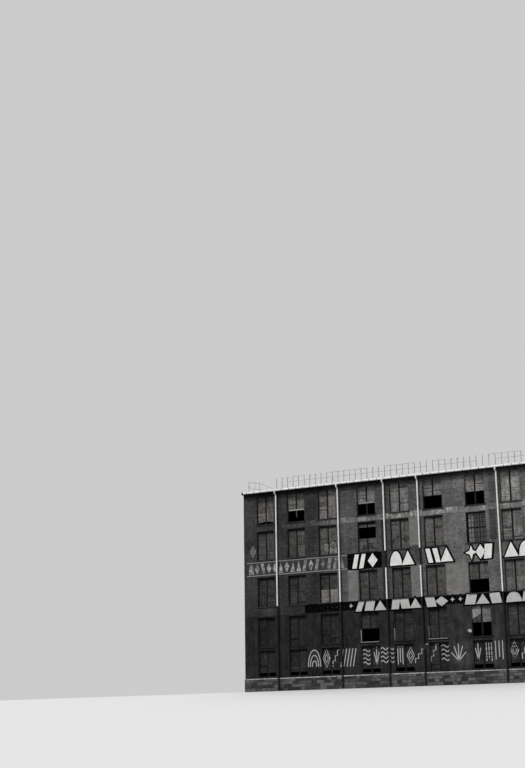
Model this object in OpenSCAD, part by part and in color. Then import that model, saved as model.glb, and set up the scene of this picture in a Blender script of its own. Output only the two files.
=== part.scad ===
// Five-storey brick mill with boarded windows, an eaves gutter and a roof railing.
// Millimetres. The front faces -Y, the ground is z = 0 and the origin is the middle of the footprint.

/* [Walls] */
// Depth of the building between the outer faces of the front and back walls
building_depth = 15000; // [12000:100:18000]
// Thickness of the brick walls
wall_t = 450; // [360:10:560]
// Width of a brick pier between two windows of one bay
pier_w = 1570; // [1200:10:2000]
// Width of the wider brick pier between two bays
bay_pier_w = 2360; // [1800:10:2900]
// Width of the brick pier at each end of the front
end_pier_w = 1550; // [1300:10:2000]
// Number of bays along the front
bays = 3; // [2:1:3]
// Number of windows in each bay
bay_windows = 3; // [2:1:3]
// Number of window columns on each end wall
end_columns = 3; // [1:1:3]

/* [Base] */
// Height of the foundation wall, from the ground to the pale ledge
plinth_h = 1210; // [900:10:1300]
// Distance that the foundation wall stands out from the wall above
plinth_out = 50; // [20:5:80]
// Height of the pale stone ledge
ledge_h = 85; // [60:5:110]
// Distance that the ledge stands out from the wall
ledge_out = 80; // [50:5:95]

/* [Storeys] */
// Height of the lowest window sills above the ground
first_sill = 1460; // [1430:10:1600]
// Rise from the first row of sills to the second
rise_2 = 2990; // [2900:10:3600]
// Rise from the second row of sills to the third
rise_3 = 4090; // [3500:10:4900]
// Rise from the third row of sills to the fourth
rise_4 = 4820; // [4000:10:5700]
// Rise from the fourth row of sills to the fifth
rise_5 = 3690; // [3400:10:4400]
// Height of brick from the top window heads to the soffit
eaves_brick = 350; // [200:10:600]
// Thickness of a floor
floor_t = 150; // [120:10:180]
// Thickness of the ground floor slab
ground_floor_t = 200; // [100:10:300]

/* [Windows] */
// Width of a window opening
window_w = 2000; // [1600:10:2400]
// Height of a window opening above its sill
window_h = 2980; // [2500:10:3100]
// Height of a window opening in the lowest row
low_window_h = 2630; // [2400:10:2640]
// Distance from the wall's outer face to the window frame
reveal = 250; // [150:5:260]
// Depth of a window frame, from front to back
frame_d = 100; // [70:5:100]
// Width of a frame's outer members
frame_w = 90; // [60:5:120]
// Width of the middle post of a frame
post_w = 180; // [80:5:220]
// Height of the middle rail above the sill
rail_at = 1320; // [1150:10:1500]
// Thickness in height of the middle rail
rail_t = 80; // [50:5:110]
// Thickness of a stone sill
sill_t = 110; // [80:5:120]
// Distance that a sill stands out from the wall
sill_out = 70; // [40:5:90]
// Length of sill that runs on past the opening at each side
sill_horn = 140; // [60:5:200]

/* [Boards] */
// Thickness of the boards that close a window
board_t = 20; // [12:1:30]
// Gap round each board
board_gap = 25; // [10:1:40]
// Height of the open slot under the boards of the lowest row
slot_h = 400; // [250:10:500]
// Height above the sill of the strip of board left at the top of a half-stripped window
strip_at = 2455; // [2300:5:2500]
// Height of that strip of board
strip_h = 365; // [200:5:400]

/* [Sash window] */
// Height of the middle rail of the window that keeps its glass
sash_rail_at = 1480; // [1150:10:1600]
// Thickness in height of that rail
sash_rail_t = 40; // [30:5:80]
// Width of a sash's stiles and rails
sash_bar_w = 45; // [40:1:70]
// Depth of a sash, from front to back
sash_d = 45; // [35:1:60]
// Thickness of the glass
glass_t = 6; // [4:1:8]

/* [Roof] */
// Thickness of the roof deck
roof_t = 160; // [120:5:220]
// Rise of the roof from the eaves to the ridge
roof_rise = 400; // [200:10:700]
// Overhang of the eaves past the front and back walls
eaves_out = 330; // [200:5:420]
// Overhang of the roof past the end walls
verge_out = 60; // [0:5:150]
// Height of the timber plate on the front and back walls
plate_h = 100; // [80:5:150]
// Width of that timber plate
plate_w = 250; // [150:5:300]
// Thickness of the fascia boards
fascia_t = 25; // [20:1:40]
// Thickness of the soffit boards
soffit_t = 20; // [15:1:30]
// Width of each side of the ridge cap
ridge_w = 260; // [150:5:400]
// Thickness of the ridge cap
ridge_t = 8; // [4:1:12]

/* [Gutters and downpipes] */
// Width and height of a gutter
gutter_w = 200; // [180:5:240]
// Thickness of a gutter's wall
gutter_wall = 6; // [4:1:10]
// Drop from the top edge of the roof deck to the gutter's rim
gutter_drop = 35; // [20:5:60]
// Distance from the roof's end to the gutter's end
gutter_inset = 300; // [150:10:500]
// Longest piece of gutter between two joints
gutter_piece = 2500; // [2000:100:4000]
// Gap between two pieces of gutter
gutter_gap = 2; // [1:1:5]
// Distance between two gutter brackets
bracket_pitch = 910; // [600:10:1500]
// Width of a gutter bracket
bracket_w = 45; // [30:1:60]
// Thickness of a gutter bracket
bracket_t = 6; // [4:1:8]
// Outer diameter of a downpipe
pipe_d = 150; // [100:1:160]
// Thickness of a downpipe's wall
pipe_wall = 5; // [3:1:8]
// Gap between a downpipe and the wall
pipe_gap = 105; // [100:1:140]
// Radius of a downpipe's bends, to the middle of the pipe
bend_r = 130; // [110:5:140]
// Angle of the bends in a swan neck
bend_angle = 58; // [45:1:65]
// Clearance where a pipe fits in its outlet and its clips
pipe_fit = 0.4; // [0.2:0.1:0.8]
// Longest straight piece of downpipe
pipe_piece = 1900; // [1200:50:2600]
// Reach of a pipe's socket over the end of the piece above it
socket_len = 65; // [40:5:90]
// Thickness of a socket's wall
socket_wall = 6; // [4:1:8]
// Gap between the end of a pipe and the shoulder in its socket
pipe_joint = 3; // [1:1:6]
// Height of a pipe clip
clip_h = 50; // [30:1:80]

/* [Railing] */
// Distance between two railing posts
railing_pitch = 645; // [500:5:900]
// Height of the railing above the roof deck
railing_h = 1180; // [900:10:1300]
// Height of the middle rail above the roof deck
mid_rail_h = 640; // [400:10:700]
// Diameter of a railing post
railing_post_d = 66; // [40:1:70]
// Height of the flat rails
railing_rail_h = 38; // [25:1:50]
// Thickness of the flat rails
railing_rail_t = 10; // [6:1:14]
// Distance from the roof's front edge to the railing
railing_in = 180; // [120:5:400]
// Side of a post's square foot plate
foot_w = 150; // [110:5:200]
// Thickness of a foot plate
foot_t = 12; // [8:1:20]
// Length of roof edge, from the left end, where the railing has fallen
fallen_length = 3900; // [3200:50:6000]

/* [Yard lamp] */
// Height of the lamp's arm above the ground
lamp_arm_z = 5150; // [4800:10:5600]
// Distance from the lamp's arm to the window on its right
lamp_side = 65; // [60:5:400]
// Diameter of the shade
lamp_d = 380; // [300:10:400]
// Depth of the shade
lamp_depth = 130; // [90:5:150]
// Thickness of the shade
lamp_wall = 4; // [3:1:6]
// Slope of the shade's axis below the level
lamp_slope = 50; // [30:5:80]
// Diameter of the arm
lamp_arm_d = 34; // [25:1:40]
// Length of arm between the wall and its bend
lamp_reach = 120; // [60:5:160]
// Radius of the arm's bend
lamp_bend_r = 140; // [100:5:180]

/* [Hidden] */

// Colours of the weathered finishes
brick = [0.36, 0.35, 0.34];
foundation_stone = [0.42, 0.41, 0.4];
ledge_stone = [0.6, 0.59, 0.57];
board_grey = [0.42, 0.42, 0.41];
old_timber = [0.12, 0.12, 0.12];
floor_timber = [0.3, 0.28, 0.26];
roof_felt = [0.2, 0.2, 0.2];
white_paint = [0.85, 0.85, 0.84];
enamel = [0.9, 0.9, 0.88];
rail_iron = [0.55, 0.55, 0.54];
dark_iron = [0.1, 0.1, 0.1];

// Window columns
column_pitch = window_w + pier_w;
bay_pitch = (bay_windows - 1) * column_pitch + window_w + bay_pier_w;
front_columns = [
    for (bay = [0:bays - 1], i = [0:bay_windows - 1])
        (bay - (bays - 1) / 2) * bay_pitch + (i - (bay_windows - 1) / 2) * column_pitch
];
end_wall_columns = [for (i = [0:end_columns - 1]) (i - (end_columns - 1) / 2) * column_pitch];
front_half = front_columns[len(front_columns) - 1] + window_w / 2 + end_pier_w;
depth_half = building_depth / 2;
inner_depth_half = depth_half - wall_t;

// Levels, lowest row of windows first
sills = [
    first_sill,
    first_sill + rise_2,
    first_sill + rise_2 + rise_3,
    first_sill + rise_2 + rise_3 + rise_4,
    first_sill + rise_2 + rise_3 + rise_4 + rise_5
];
rows = [0:len(sills) - 1];
heights = [for (row = rows) row == 0 ? low_window_h : window_h];
heads = [for (row = rows) sills[row] + heights[row]];
wall_top = heads[len(heads) - 1] + eaves_brick;

// Roof, as heights over the distance from the wall's outer face inwards
slope = atan(roof_rise / (depth_half + eaves_out));
function roof_under(inward) = wall_top + plate_h + inward * tan(slope);
function roof_over(inward) = roof_under(inward) + roof_t / cos(slope);
roof_half = front_half + verge_out;

// Gutter and pipes, in the frame of a long wall
gutter_r = gutter_w / 2;
gutter_y = -(eaves_out + fascia_t + bracket_t + gutter_r);
gutter_top = roof_over(-eaves_out) - gutter_drop;
gutter_centre = gutter_top - gutter_w + gutter_r;
gutter_half = roof_half - gutter_inset;
gutter_pieces = ceil(2 * gutter_half / gutter_piece);
gutter_step = 2 * gutter_half / gutter_pieces;
flange = 14;
pipe_r = pipe_d / 2;
pipe_y = -(pipe_gap + pipe_r);
outlet_len = 90;
outlet_r = pipe_r + pipe_fit + 5;
pipe_top = gutter_centre - gutter_r - outlet_len / 2;
neck_straight = outlet_len;
neck_slant = (pipe_y - gutter_y - 2 * bend_r * (1 - cos(bend_angle))) / sin(bend_angle);
neck_end = pipe_top - neck_straight - 2 * bend_r * sin(bend_angle) - neck_slant * cos(bend_angle);
slip = 1.5;
slip_in = 12;
neck_tail = socket_len + 20;
shoe_angle = 60;
shoe_tip = 90;
shoe_top = 330;
socket_base = 20;
shoe_shoulder = shoe_top + 2 * socket_base;
pipe_shoulder = neck_end - neck_tail - pipe_joint;
pipe_pieces = ceil((pipe_shoulder - shoe_shoulder) / pipe_piece);
pipe_step = (pipe_shoulder - shoe_shoulder) / pipe_pieces;
clip_band = 6;
clip_arm = 30;

// Downpipes, as a distance from the left edge of the window column to their right
front_pipe_columns = [[1, -1195], [3, -2035], [4, -550], [5, -460], [7, -225], [8, -375]];
back_pipe_columns = [[0, -500], [3, -1180], [6, -1180], [8, -785]];

// State of each front window, from the left and from the lowest row up.
// boarded: all closed. slot: open under the boards. open: the lower half is open, with its middle post.
// stub: the same with the post broken off. bare: the same with the post gone.
// torn: boards torn off along the foot. stripped: the upper half is open under a strip of board.
// glazed: the sashes and their glass are left.
front_states = [
    ["slot", "slot", "slot", "slot", "slot", "boarded", "slot", "slot", "slot"],
    ["boarded", "boarded", "boarded", "bare", "boarded", "boarded", "open", "boarded", "boarded"],
    ["boarded", "boarded", "boarded", "boarded", "boarded", "boarded", "bare", "boarded", "boarded"],
    ["boarded", "boarded", "boarded", "stripped", "boarded", "boarded", "glazed", "boarded", "boarded"],
    ["torn", "stub", "boarded", "open", "boarded", "bare", "open", "boarded", "boarded"]
];
function front_state(row, column) =
    column < len(front_states[row]) ? front_states[row][column] : "boarded";
stub_len = 820;
torn_foot = [140, 330];

// Wrought-iron anchor plates on the piers left of these columns, at the fifth floor
anchor_columns = [2, 4];
anchor_r = 110;
anchor_t = 25;

// Yard lamp, beside the window of this column
lamp_column = 6;
lamp_plate_r = 50;
lamp_plate_t = 12;
lamp_holder_r = 26;
lamp_holder_len = 80;
lamp_collar = 55;
lamp_rim = 5;
shade_r = ((lamp_d / 2) ^ 2 + lamp_depth ^ 2) / (2 * lamp_depth);

// Railing posts with a bent top, posts with a stay, and the gaps in the top rail
hooked_posts = [1, 2, 6, 7, 8, 17, 30, 31, 42];
stayed_posts = [1, 5, 10, 21, 33];
top_rails = [[3, 5], [9, 16], [19, 24], [27, 29], [36, 41]];
mid_rails = [[2, 26], [28, 34], [37, 47]];
hook_r = 110;
hook_angle = 110;
stay_run = 300;
rail_fit = 0.3;
rail_past = 60;
fallen_bar_d = 46;
fallen_upright_d = 34;
fallen_short = 950;
fallen_knee = [1500, 760];
fallen_mid_h = 520;
fallen_mid_knee = [800, 250];
fallen_mid_run = 1900;
fallen_uprights = [[720, 1060], [1270, 940]];
end_post_in = 800;
end_post_h = 1100;

eps = 1;

// Places what follows on one of the four walls: x runs along the wall, y into the building
module on_front() { translate([0, -depth_half, 0]) children(); }
module on_back() { rotate([0, 0, 180]) translate([0, -depth_half, 0]) children(); }
module on_left() { rotate([0, 0, -90]) translate([0, -front_half, 0]) children(); }
module on_right() { rotate([0, 0, 90]) translate([0, -front_half, 0]) children(); }
module on_both_ends() {
    on_left() children();
    on_right() children();
}

// Box from one corner to the opposite one
module block(low, high) { translate(low) cube(high - low); }

// Solid along X from a profile in Y and Z, between two places or centred on the origin
module along(from, to) { translate([from, 0, 0]) rotate([90, 0, 90]) linear_extrude(to - from) children(); }
module along_x(half) { along(-half, half) children(); }

// Foundation walls
module plinth(half) { block([-half, -plinth_out, 0], [half, wall_t, plinth_h]); }
module front_plinth() { color(foundation_stone) on_front() plinth(front_half + plinth_out); }
module back_plinth() { color(foundation_stone) on_back() plinth(front_half + plinth_out); }
module end_plinths() { color(foundation_stone) on_both_ends() plinth(inner_depth_half); }

// Pale ledge round the building, on the shoulder of the foundation
module stone_ledge() {
    color(ledge_stone)
    translate([0, 0, plinth_h])
    linear_extrude(ledge_h)
    difference() {
        square(2 * [front_half + ledge_out, depth_half + ledge_out], center = true);
        square(2 * [front_half, depth_half], center = true);
    }
}

// Brick piers, from the foundation to the eaves
module piers(columns, half) {
    for (i = [0:len(columns)]) {
        left = i == 0 ? -half : columns[i - 1] + window_w / 2;
        right = i == len(columns) ? half : columns[i] - window_w / 2;
        block([left, 0, plinth_h], [right, wall_t, wall_top]);
    }
}

// Brickwork between the piers, below, between and above the windows
module spandrels(columns) {
    for (x = columns, i = [0:len(sills)]) {
        bottom = i == 0 ? plinth_h : heads[i - 1];
        top = i == len(sills) ? wall_top : sills[i] - sill_t;
        block([x - window_w / 2, 0, bottom], [x + window_w / 2, wall_t, top]);
    }
}

module front_piers() { color(brick) on_front() piers(front_columns, front_half); }
module front_spandrels() { color(brick) on_front() spandrels(front_columns); }
module back_piers() { color(brick) on_back() piers(front_columns, front_half); }
module back_spandrels() { color(brick) on_back() spandrels(front_columns); }
module end_piers() { color(brick) on_both_ends() piers(end_wall_columns, inner_depth_half); }
module end_spandrels() { color(brick) on_both_ends() spandrels(end_wall_columns); }

// Floors, each at the middle of the brickwork between two rows of windows
module floor_slab(bottom, thickness) {
    color(floor_timber)
    block(
        [-(front_half - wall_t), -inner_depth_half, bottom],
        [front_half - wall_t, inner_depth_half, bottom + thickness]
    );
}
module upper_floor(row) { floor_slab((heads[row - 1] + sills[row] - floor_t) / 2, floor_t); }

// Timber plates on the front and back walls, under the roof
module wall_plate() {
    inner = (wall_t + plate_w) / 2;
    outer = (wall_t - plate_w) / 2;
    along_x(front_half - wall_t)
    polygon([
        [outer, wall_top],
        [inner, wall_top],
        [inner, roof_under(inner)],
        [outer, roof_under(outer)]
    ]);
}
module wall_plates() {
    color(old_timber) {
        on_front() wall_plate();
        on_back() wall_plate();
    }
}

// Brick gables that close the ends of the roof
module gable() {
    translate([0, wall_t, 0])
    rotate([90, 0, 0])
    linear_extrude(wall_t)
    polygon([
        [-depth_half, wall_top],
        [depth_half, wall_top],
        [depth_half, roof_under(0)],
        [0, roof_under(depth_half)],
        [-depth_half, roof_under(0)]
    ]);
}
module gables() { color(brick) on_both_ends() gable(); }

// Roof deck
module roof_slope() {
    along_x(roof_half)
    polygon([
        [-eaves_out, roof_under(-eaves_out)],
        [depth_half, roof_under(depth_half)],
        [depth_half, roof_over(depth_half)],
        [-eaves_out, roof_over(-eaves_out)]
    ]);
}
module front_roof_slope() { color(roof_felt) on_front() roof_slope(); }
module back_roof_slope() { color(roof_felt) on_back() roof_slope(); }

// Bent sheet over the ridge
module ridge_cap() {
    color(dark_iron)
    along_x(roof_half)
    polygon([
        [0, roof_over(depth_half)],
        [ridge_w, roof_over(depth_half - ridge_w)],
        [ridge_w, roof_over(depth_half - ridge_w) + ridge_t],
        [0, roof_over(depth_half) + ridge_t],
        [-ridge_w, roof_over(depth_half - ridge_w) + ridge_t],
        [-ridge_w, roof_over(depth_half - ridge_w)]
    ]);
}

// Boards along the eaves
module fascia() {
    block(
        [-roof_half, -eaves_out - fascia_t, wall_top - soffit_t],
        [roof_half, -eaves_out, roof_over(-eaves_out)]
    );
}
module fascias() {
    color(old_timber) {
        on_front() fascia();
        on_back() fascia();
    }
}
module soffit() { block([-roof_half, -eaves_out, wall_top - soffit_t], [roof_half, 0, wall_top]); }
module soffits() {
    color(old_timber) {
        on_front() soffit();
        on_back() soffit();
    }
}

// U-shaped outline of a gutter, grown all round by a distance, with its rim at the top
module gutter_outline(grow) {
    r = gutter_r + grow;
    intersection() {
        circle(r, $fn = 48);
        translate([-r, -r]) square([2 * r, r]);
    }
    translate([-r, 0]) square([2 * r, gutter_w - gutter_r]);
}

// Piece of half-round gutter with a rolled front edge, a flange at each end and its share of the outlets.
// Where the gutter ends, its own end is closed.
module gutter_length(left, right, pipes) {
    near = [for (x = pipes) if (x > left - outlet_r && x < right + outlet_r) x];
    closed = gutter_half - 2 * flange;
    translate([0, gutter_y, gutter_centre])
    intersection() {
        block([left, -2 * gutter_w, -2 * gutter_w], [right, 2 * gutter_w, 2 * gutter_w]);
        difference() {
            union() {
                along(left - eps, right + eps) {
                    gutter_outline(0);
                    translate([-gutter_r, gutter_w - gutter_r - flange / 2]) circle(flange / 2, $fn = 24);
                }
                for (end = [left, right]) along(end - flange, end + flange) gutter_outline(bracket_t);
                for (x = near)
                    translate([x, 0, -gutter_r - outlet_len])
                        cylinder(outlet_len + gutter_r / 2, r = outlet_r, $fn = 48);
            }
            along(max(left - 2 * eps, -closed), min(right + 2 * eps, closed)) {
                circle(gutter_r - gutter_wall, $fn = 48);
                translate([-gutter_r + gutter_wall, 0]) square([gutter_w - 2 * gutter_wall, gutter_w]);
            }
            for (x = near)
                translate([x, 0, -gutter_r - outlet_len - eps])
                    cylinder(outlet_len + gutter_r, r = pipe_r + pipe_fit, $fn = 48);
        }
    }
}
module gutter(pipes) {
    for (i = [0:gutter_pieces - 1]) {
        left = i * gutter_step - gutter_half;
        gap_left = i > 0 ? gutter_gap / 2 : 0;
        gap_right = i < gutter_pieces - 1 ? gutter_gap / 2 : 0;
        gutter_length(left + gap_left, left + gutter_step - gap_right, pipes);
    }
}
function pipe_places(list) =
    [for (p = list) if (p[0] < len(front_columns)) front_columns[p[0]] - window_w / 2 + p[1]];
front_pipes = pipe_places(front_pipe_columns);
back_pipes = pipe_places(back_pipe_columns);
module gutters() {
    color(white_paint) {
        on_front() gutter(front_pipes);
        on_back() gutter(back_pipes);
    }
}

// Straps that carry each piece of gutter on the fascia
module brackets(pipes) {
    straps = ceil(gutter_step / bracket_pitch);
    for (i = [0:gutter_pieces - 1], j = [0:straps - 1]) {
        x = (i + (j + 0.5) / straps) * gutter_step - gutter_half;
        clear = min([for (p = pipes) abs(p - x)]);
        if (clear > outlet_r + bracket_w)
            translate([x, gutter_y, gutter_centre])
                along_x(bracket_w / 2)
                    difference() {
                        gutter_outline(bracket_t);
                        gutter_outline(0);
                    }
    }
}
module gutter_brackets() {
    color(dark_iron) {
        on_front() brackets(front_pipes);
        on_back() brackets(back_pipes);
    }
}

// Wall of a pipe, in section
module pipe_section(outer, inner) {
    difference() {
        circle(outer, $fn = 48);
        circle(inner, $fn = 48);
    }
}

// Tube running down from the origin, with both ends slipped into the bends beside it
module pipe_straight(length) {
    translate([0, 0, -length - slip_in])
    linear_extrude(length + 2 * slip_in)
    pipe_section(pipe_r, pipe_r - pipe_wall);
}

// Thicker bend that starts down at the origin and turns towards the wall
module pipe_bend(angle) {
    translate([0, bend_r, 0])
    rotate([-90, 0, -90])
    rotate_extrude(angle = angle, $fn = 48)
    translate([bend_r, 0])
    pipe_section(pipe_r + slip, pipe_r - pipe_wall - slip);
}

// Straight piece of pipe that hangs from the origin, with a socket above it for the end of the next piece
module pipe_length(length) {
    difference() {
        union() {
            translate([0, 0, -length]) cylinder(length, r = pipe_r, $fn = 48);
            translate([0, 0, -socket_base])
                cylinder(socket_base + socket_len, r = pipe_r + pipe_fit + socket_wall, $fn = 48);
        }
        translate([0, 0, -length - eps]) cylinder(length + 2 * eps, r = pipe_r - pipe_wall, $fn = 48);
        cylinder(socket_len + eps, r = pipe_r + pipe_fit, $fn = 48);
    }
}

// Swan neck, from the gutter's outlet back to the wall
module swan_neck() {
    side = bend_r * (1 - cos(bend_angle));
    drop = bend_r * sin(bend_angle);
    translate([0, gutter_y, pipe_top]) pipe_straight(neck_straight);
    translate([0, gutter_y, pipe_top - neck_straight]) {
        pipe_bend(bend_angle);
        translate([0, side, -drop])
            rotate([bend_angle, 0, 0]) {
                pipe_straight(neck_slant);
                translate([0, 0, -neck_slant]) mirror([0, 1, 0]) pipe_bend(bend_angle);
            }
    }
    translate([0, pipe_y, neck_end]) pipe_straight(neck_tail - slip_in);
}

// Shoe that turns the water away from the wall
module pipe_shoe() {
    translate([0, pipe_y, shoe_shoulder]) pipe_length(shoe_shoulder - shoe_top + slip_in);
    translate([0, pipe_y, shoe_top])
        mirror([0, 1, 0]) {
            pipe_bend(shoe_angle);
            translate([0, bend_r * (1 - cos(shoe_angle)), -bend_r * sin(shoe_angle)])
                rotate([shoe_angle, 0, 0]) pipe_straight(shoe_tip);
        }
}

// Places what follows at each downpipe of the building
module at_pipes() {
    on_front() for (x = front_pipes) translate([x, 0, 0]) children();
    on_back() for (x = back_pipes) translate([x, 0, 0]) children();
}
module swan_necks() { color(white_paint) at_pipes() swan_neck(); }
module downpipes() {
    color(white_paint)
    at_pipes()
    for (i = [0:pipe_pieces - 1])
        translate([0, pipe_y, pipe_shoulder - i * pipe_step]) pipe_length(pipe_step - pipe_joint);
}
module pipe_shoes() { color(white_paint) at_pipes() pipe_shoe(); }

// Clip under a pipe's socket that holds it off the wall
module pipe_clip() {
    ring_r = pipe_r + pipe_fit;
    translate([0, pipe_y, 0])
    linear_extrude(clip_h)
    difference() {
        union() {
            circle(ring_r + clip_band, $fn = 48);
            translate([-clip_arm / 2, 0]) square([clip_arm, -pipe_y]);
        }
        circle(ring_r, $fn = 48);
    }
}
module pipe_clips() {
    color(dark_iron)
    at_pipes()
    for (i = [0:pipe_pieces - 1]) {
        foot = pipe_shoulder - i * pipe_step - socket_base - clip_h;
        if (foot > plinth_h + ledge_h + pipe_gap) translate([0, 0, foot]) pipe_clip();
    }
}

// Railing on the front edge of the roof. Its parts stand on the roof deck.
railing_y = -eaves_out + railing_in;
railing_z = roof_over(railing_y);
post_count = floor((2 * roof_half - fallen_length - gutter_inset) / railing_pitch);
function post_x(i) = roof_half - gutter_inset - (post_count - i) * railing_pitch;
module foot_plate() {
    translate([0, railing_y, railing_z])
    rotate([slope, 0, 0])
    block([-foot_w / 2, -foot_w / 2, 0], [foot_w / 2, foot_w / 2, foot_t]);
}
module post(height) {
    translate([0, railing_y, railing_z + foot_t / 2])
        cylinder(height - foot_t / 2, d = railing_post_d, $fn = 16);
}
module post_hook() {
    translate([hook_r, railing_y, railing_z + railing_h - slip_in])
        rotate([90, 0, 180])
            rotate_extrude(angle = -hook_angle, $fn = 24)
                translate([hook_r, 0]) circle(d = railing_post_d + 2 * slip, $fn = 16);
}
module stay() {
    length = norm([stay_run, mid_rail_h]);
    translate([stay_run, railing_y, railing_z + foot_t / 2])
        rotate([0, -atan(stay_run / mid_rail_h), 0])
            cylinder(length, d = railing_rail_t * 2, $fn = 16);
}
function listed(i, list) = len([for (j = list) if (j == i) j]) > 0;
module posts(bent) {
    for (i = [0:post_count]) {
        hooked = listed(i, hooked_posts);
        stayed = listed(i, stayed_posts);
        if (bent == (hooked || stayed))
            translate([post_x(i), 0, 0]) {
                foot_plate();
                post(railing_h);
                if (hooked) post_hook();
                if (stayed) stay();
            }
    }
}
module railing_posts() { color(rail_iron) on_front() posts(false); }
module bent_posts() { color(rail_iron) on_front() posts(true); }

// Flat rails bolted to the inner side of the posts, with the stretches that are left
module rail_between(from, to, height) {
    seat = railing_y + railing_post_d / 2 + rail_fit;
    translate([post_x(from) - rail_past, seat, railing_z + height])
        cube([post_x(to) - post_x(from) + 2 * rail_past, railing_rail_t, railing_rail_h]);
}
module railing_rails() {
    color(rail_iron)
    on_front() {
        for (r = top_rails)
            rail_between(min(r[0], post_count), min(r[1], post_count), railing_h - railing_rail_h);
        for (r = mid_rails)
            rail_between(min(r[0], post_count), min(r[1], post_count), mid_rail_h);
    }
}

// End of the railing that has collapsed: the last post, its rails, which slant down to the deck, and the
// thin uprights that still stand between them
module fallen_bar(from, to) {
    run = to - from;
    translate([from[0], railing_y, railing_z + from[1]])
        rotate([0, 90 - atan2(run[1], run[0]), 0])
            cylinder(norm(run), d = fallen_bar_d, $fn = 16);
    translate([to[0], railing_y, railing_z + to[1]]) sphere(d = fallen_bar_d + slip, $fn = 16);
}
module fallen_railing() {
    lift = (fallen_bar_d + slip) / 2;
    top = [[0, end_post_h - fallen_bar_d], fallen_knee, [fallen_length - fallen_short, lift]];
    middle = [[0, fallen_mid_h], fallen_mid_knee, [fallen_mid_run, lift]];
    color(rail_iron)
    on_front()
    translate([-roof_half + end_post_in, 0, 0]) {
        foot_plate();
        post(end_post_h);
        for (rail = [top, middle], i = [1, 2]) fallen_bar(rail[i - 1], rail[i]);
        for (u = fallen_uprights)
            translate([u[0], 0, 0]) {
                foot_plate();
                translate([0, railing_y, railing_z + foot_t / 2])
                    cylinder(u[1] - foot_t / 2, d = fallen_upright_d, $fn = 16);
            }
    }
}

// Round plates where the floor's tie rods come through the front wall
module anchor_plates() {
    color(dark_iron)
    on_front()
    for (c = anchor_columns) {
        x = (front_columns[c - 1] + front_columns[c]) / 2;
        translate([x, 0, (heads[3] + sills[4]) / 2])
            rotate([90, 0, 0])
                cylinder(anchor_t, r = anchor_r, $fn = 32);
    }
}

// Yard lamp: a spun dome with a rolled rim, on an arm that comes out of the wall and bends down
module shade_outline() {
    intersection() {
        translate([0, shade_r])
            difference() {
                circle(shade_r, $fn = 96);
                circle(shade_r - lamp_wall, $fn = 96);
            }
        square([lamp_d / 2, lamp_depth]);
    }
    translate([lamp_d / 2 - lamp_wall / 2, lamp_depth]) circle(lamp_rim, $fn = 24);
}
module lamp_bend() {
    translate([0, 0, -lamp_bend_r])
    rotate([180, -90, 0])
    rotate_extrude(angle = lamp_slope, $fn = 48)
    translate([lamp_bend_r, 0])
    circle(d = lamp_arm_d + 2 * slip, $fn = 24);
}
module lamp_head() {
    translate([0, 0, -slip_in]) cylinder(slip_in + lamp_holder_len, r = lamp_holder_r, $fn = 32);
    translate([0, 0, lamp_collar]) rotate_extrude($fn = 96) shade_outline();
}
module yard_lamp() {
    column = min(lamp_column, len(front_columns) - 1);
    color(enamel)
    on_front()
    translate([front_columns[column] - window_w / 2 - lamp_side, 0, lamp_arm_z]) {
        rotate([90, 0, 0]) {
            cylinder(lamp_plate_t, r = lamp_plate_r, $fn = 32);
            cylinder(lamp_reach + slip_in, d = lamp_arm_d, $fn = 24);
        }
        translate([0, -lamp_reach, 0]) {
            lamp_bend();
            translate([0, -lamp_bend_r * sin(lamp_slope), -lamp_bend_r * (1 - cos(lamp_slope))])
                rotate([90 + lamp_slope, 0, 0]) lamp_head();
        }
    }
}

// Stone sills with horns
module window_sill() {
    translate([0, 0, -sill_t])
    linear_extrude(sill_t)
    union() {
        translate([-window_w / 2, -sill_out]) square([window_w, wall_t + sill_out]);
        translate([-window_w / 2 - sill_horn, -sill_out]) square([window_w + 2 * sill_horn, sill_out]);
    }
}
module sills_on(columns) { for (x = columns, z = sills) translate([x, 0, z]) window_sill(); }
module front_sills() { color(ledge_stone) on_front() sills_on(front_columns); }
module other_sills() {
    color(ledge_stone) {
        on_back() sills_on(front_columns);
        on_both_ends() sills_on(end_wall_columns);
    }
}

// Window frames, drawn in X and Z and stood up in the reveal
module stand_in_reveal(front, depth) {
    translate([0, front + depth, 0]) rotate([90, 0, 0]) linear_extrude(depth) children();
}
module light(x0, x1, z0, z1) { translate([x0, z0]) square([x1 - x0, z1 - z0]); }
// Foot and head of the open halves of a frame, below and above a middle rail of that height and thickness
function halves(height, rail, t) = [[frame_w / 2, rail - t / 2], [rail + t / 2, height - frame_w]];
module frame_outline(height, state) {
    side = window_w / 2 - frame_w;
    low = halves(height, rail_at, rail_t)[0];
    high = halves(height, rail_at, rail_t)[1];
    difference() {
        translate([-window_w / 2, 0]) square([window_w, height]);
        if (state == "glazed") {
            for (z = halves(height, sash_rail_at, sash_rail_t)) light(-side, side, z[0], z[1]);
        } else {
            for (z = [low, high]) {
                light(-side, -post_w / 2, z[0], z[1]);
                light(post_w / 2, side, z[0], z[1]);
            }
            if (state == "bare") light(-post_w, post_w, low[0], low[1]);
            if (state == "stub") light(-post_w, post_w, low[0], low[1] - stub_len);
            if (state == "stripped") light(-post_w, post_w, high[0], strip_at + board_gap);
        }
    }
}
module frame(height, state) { stand_in_reveal(reveal, frame_d) frame_outline(height, state); }
module front_frames() {
    color(old_timber)
    on_front()
    for (row = rows, i = [0:len(front_columns) - 1])
        translate([front_columns[i], 0, sills[row]]) frame(heights[row], front_state(row, i));
}
module frames_on(columns) {
    for (row = rows, x = columns) translate([x, 0, sills[row]]) frame(heights[row], "boarded");
}
module other_frames() {
    color(old_timber) {
        on_back() frames_on(front_columns);
        on_both_ends() frames_on(end_wall_columns);
    }
}

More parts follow.
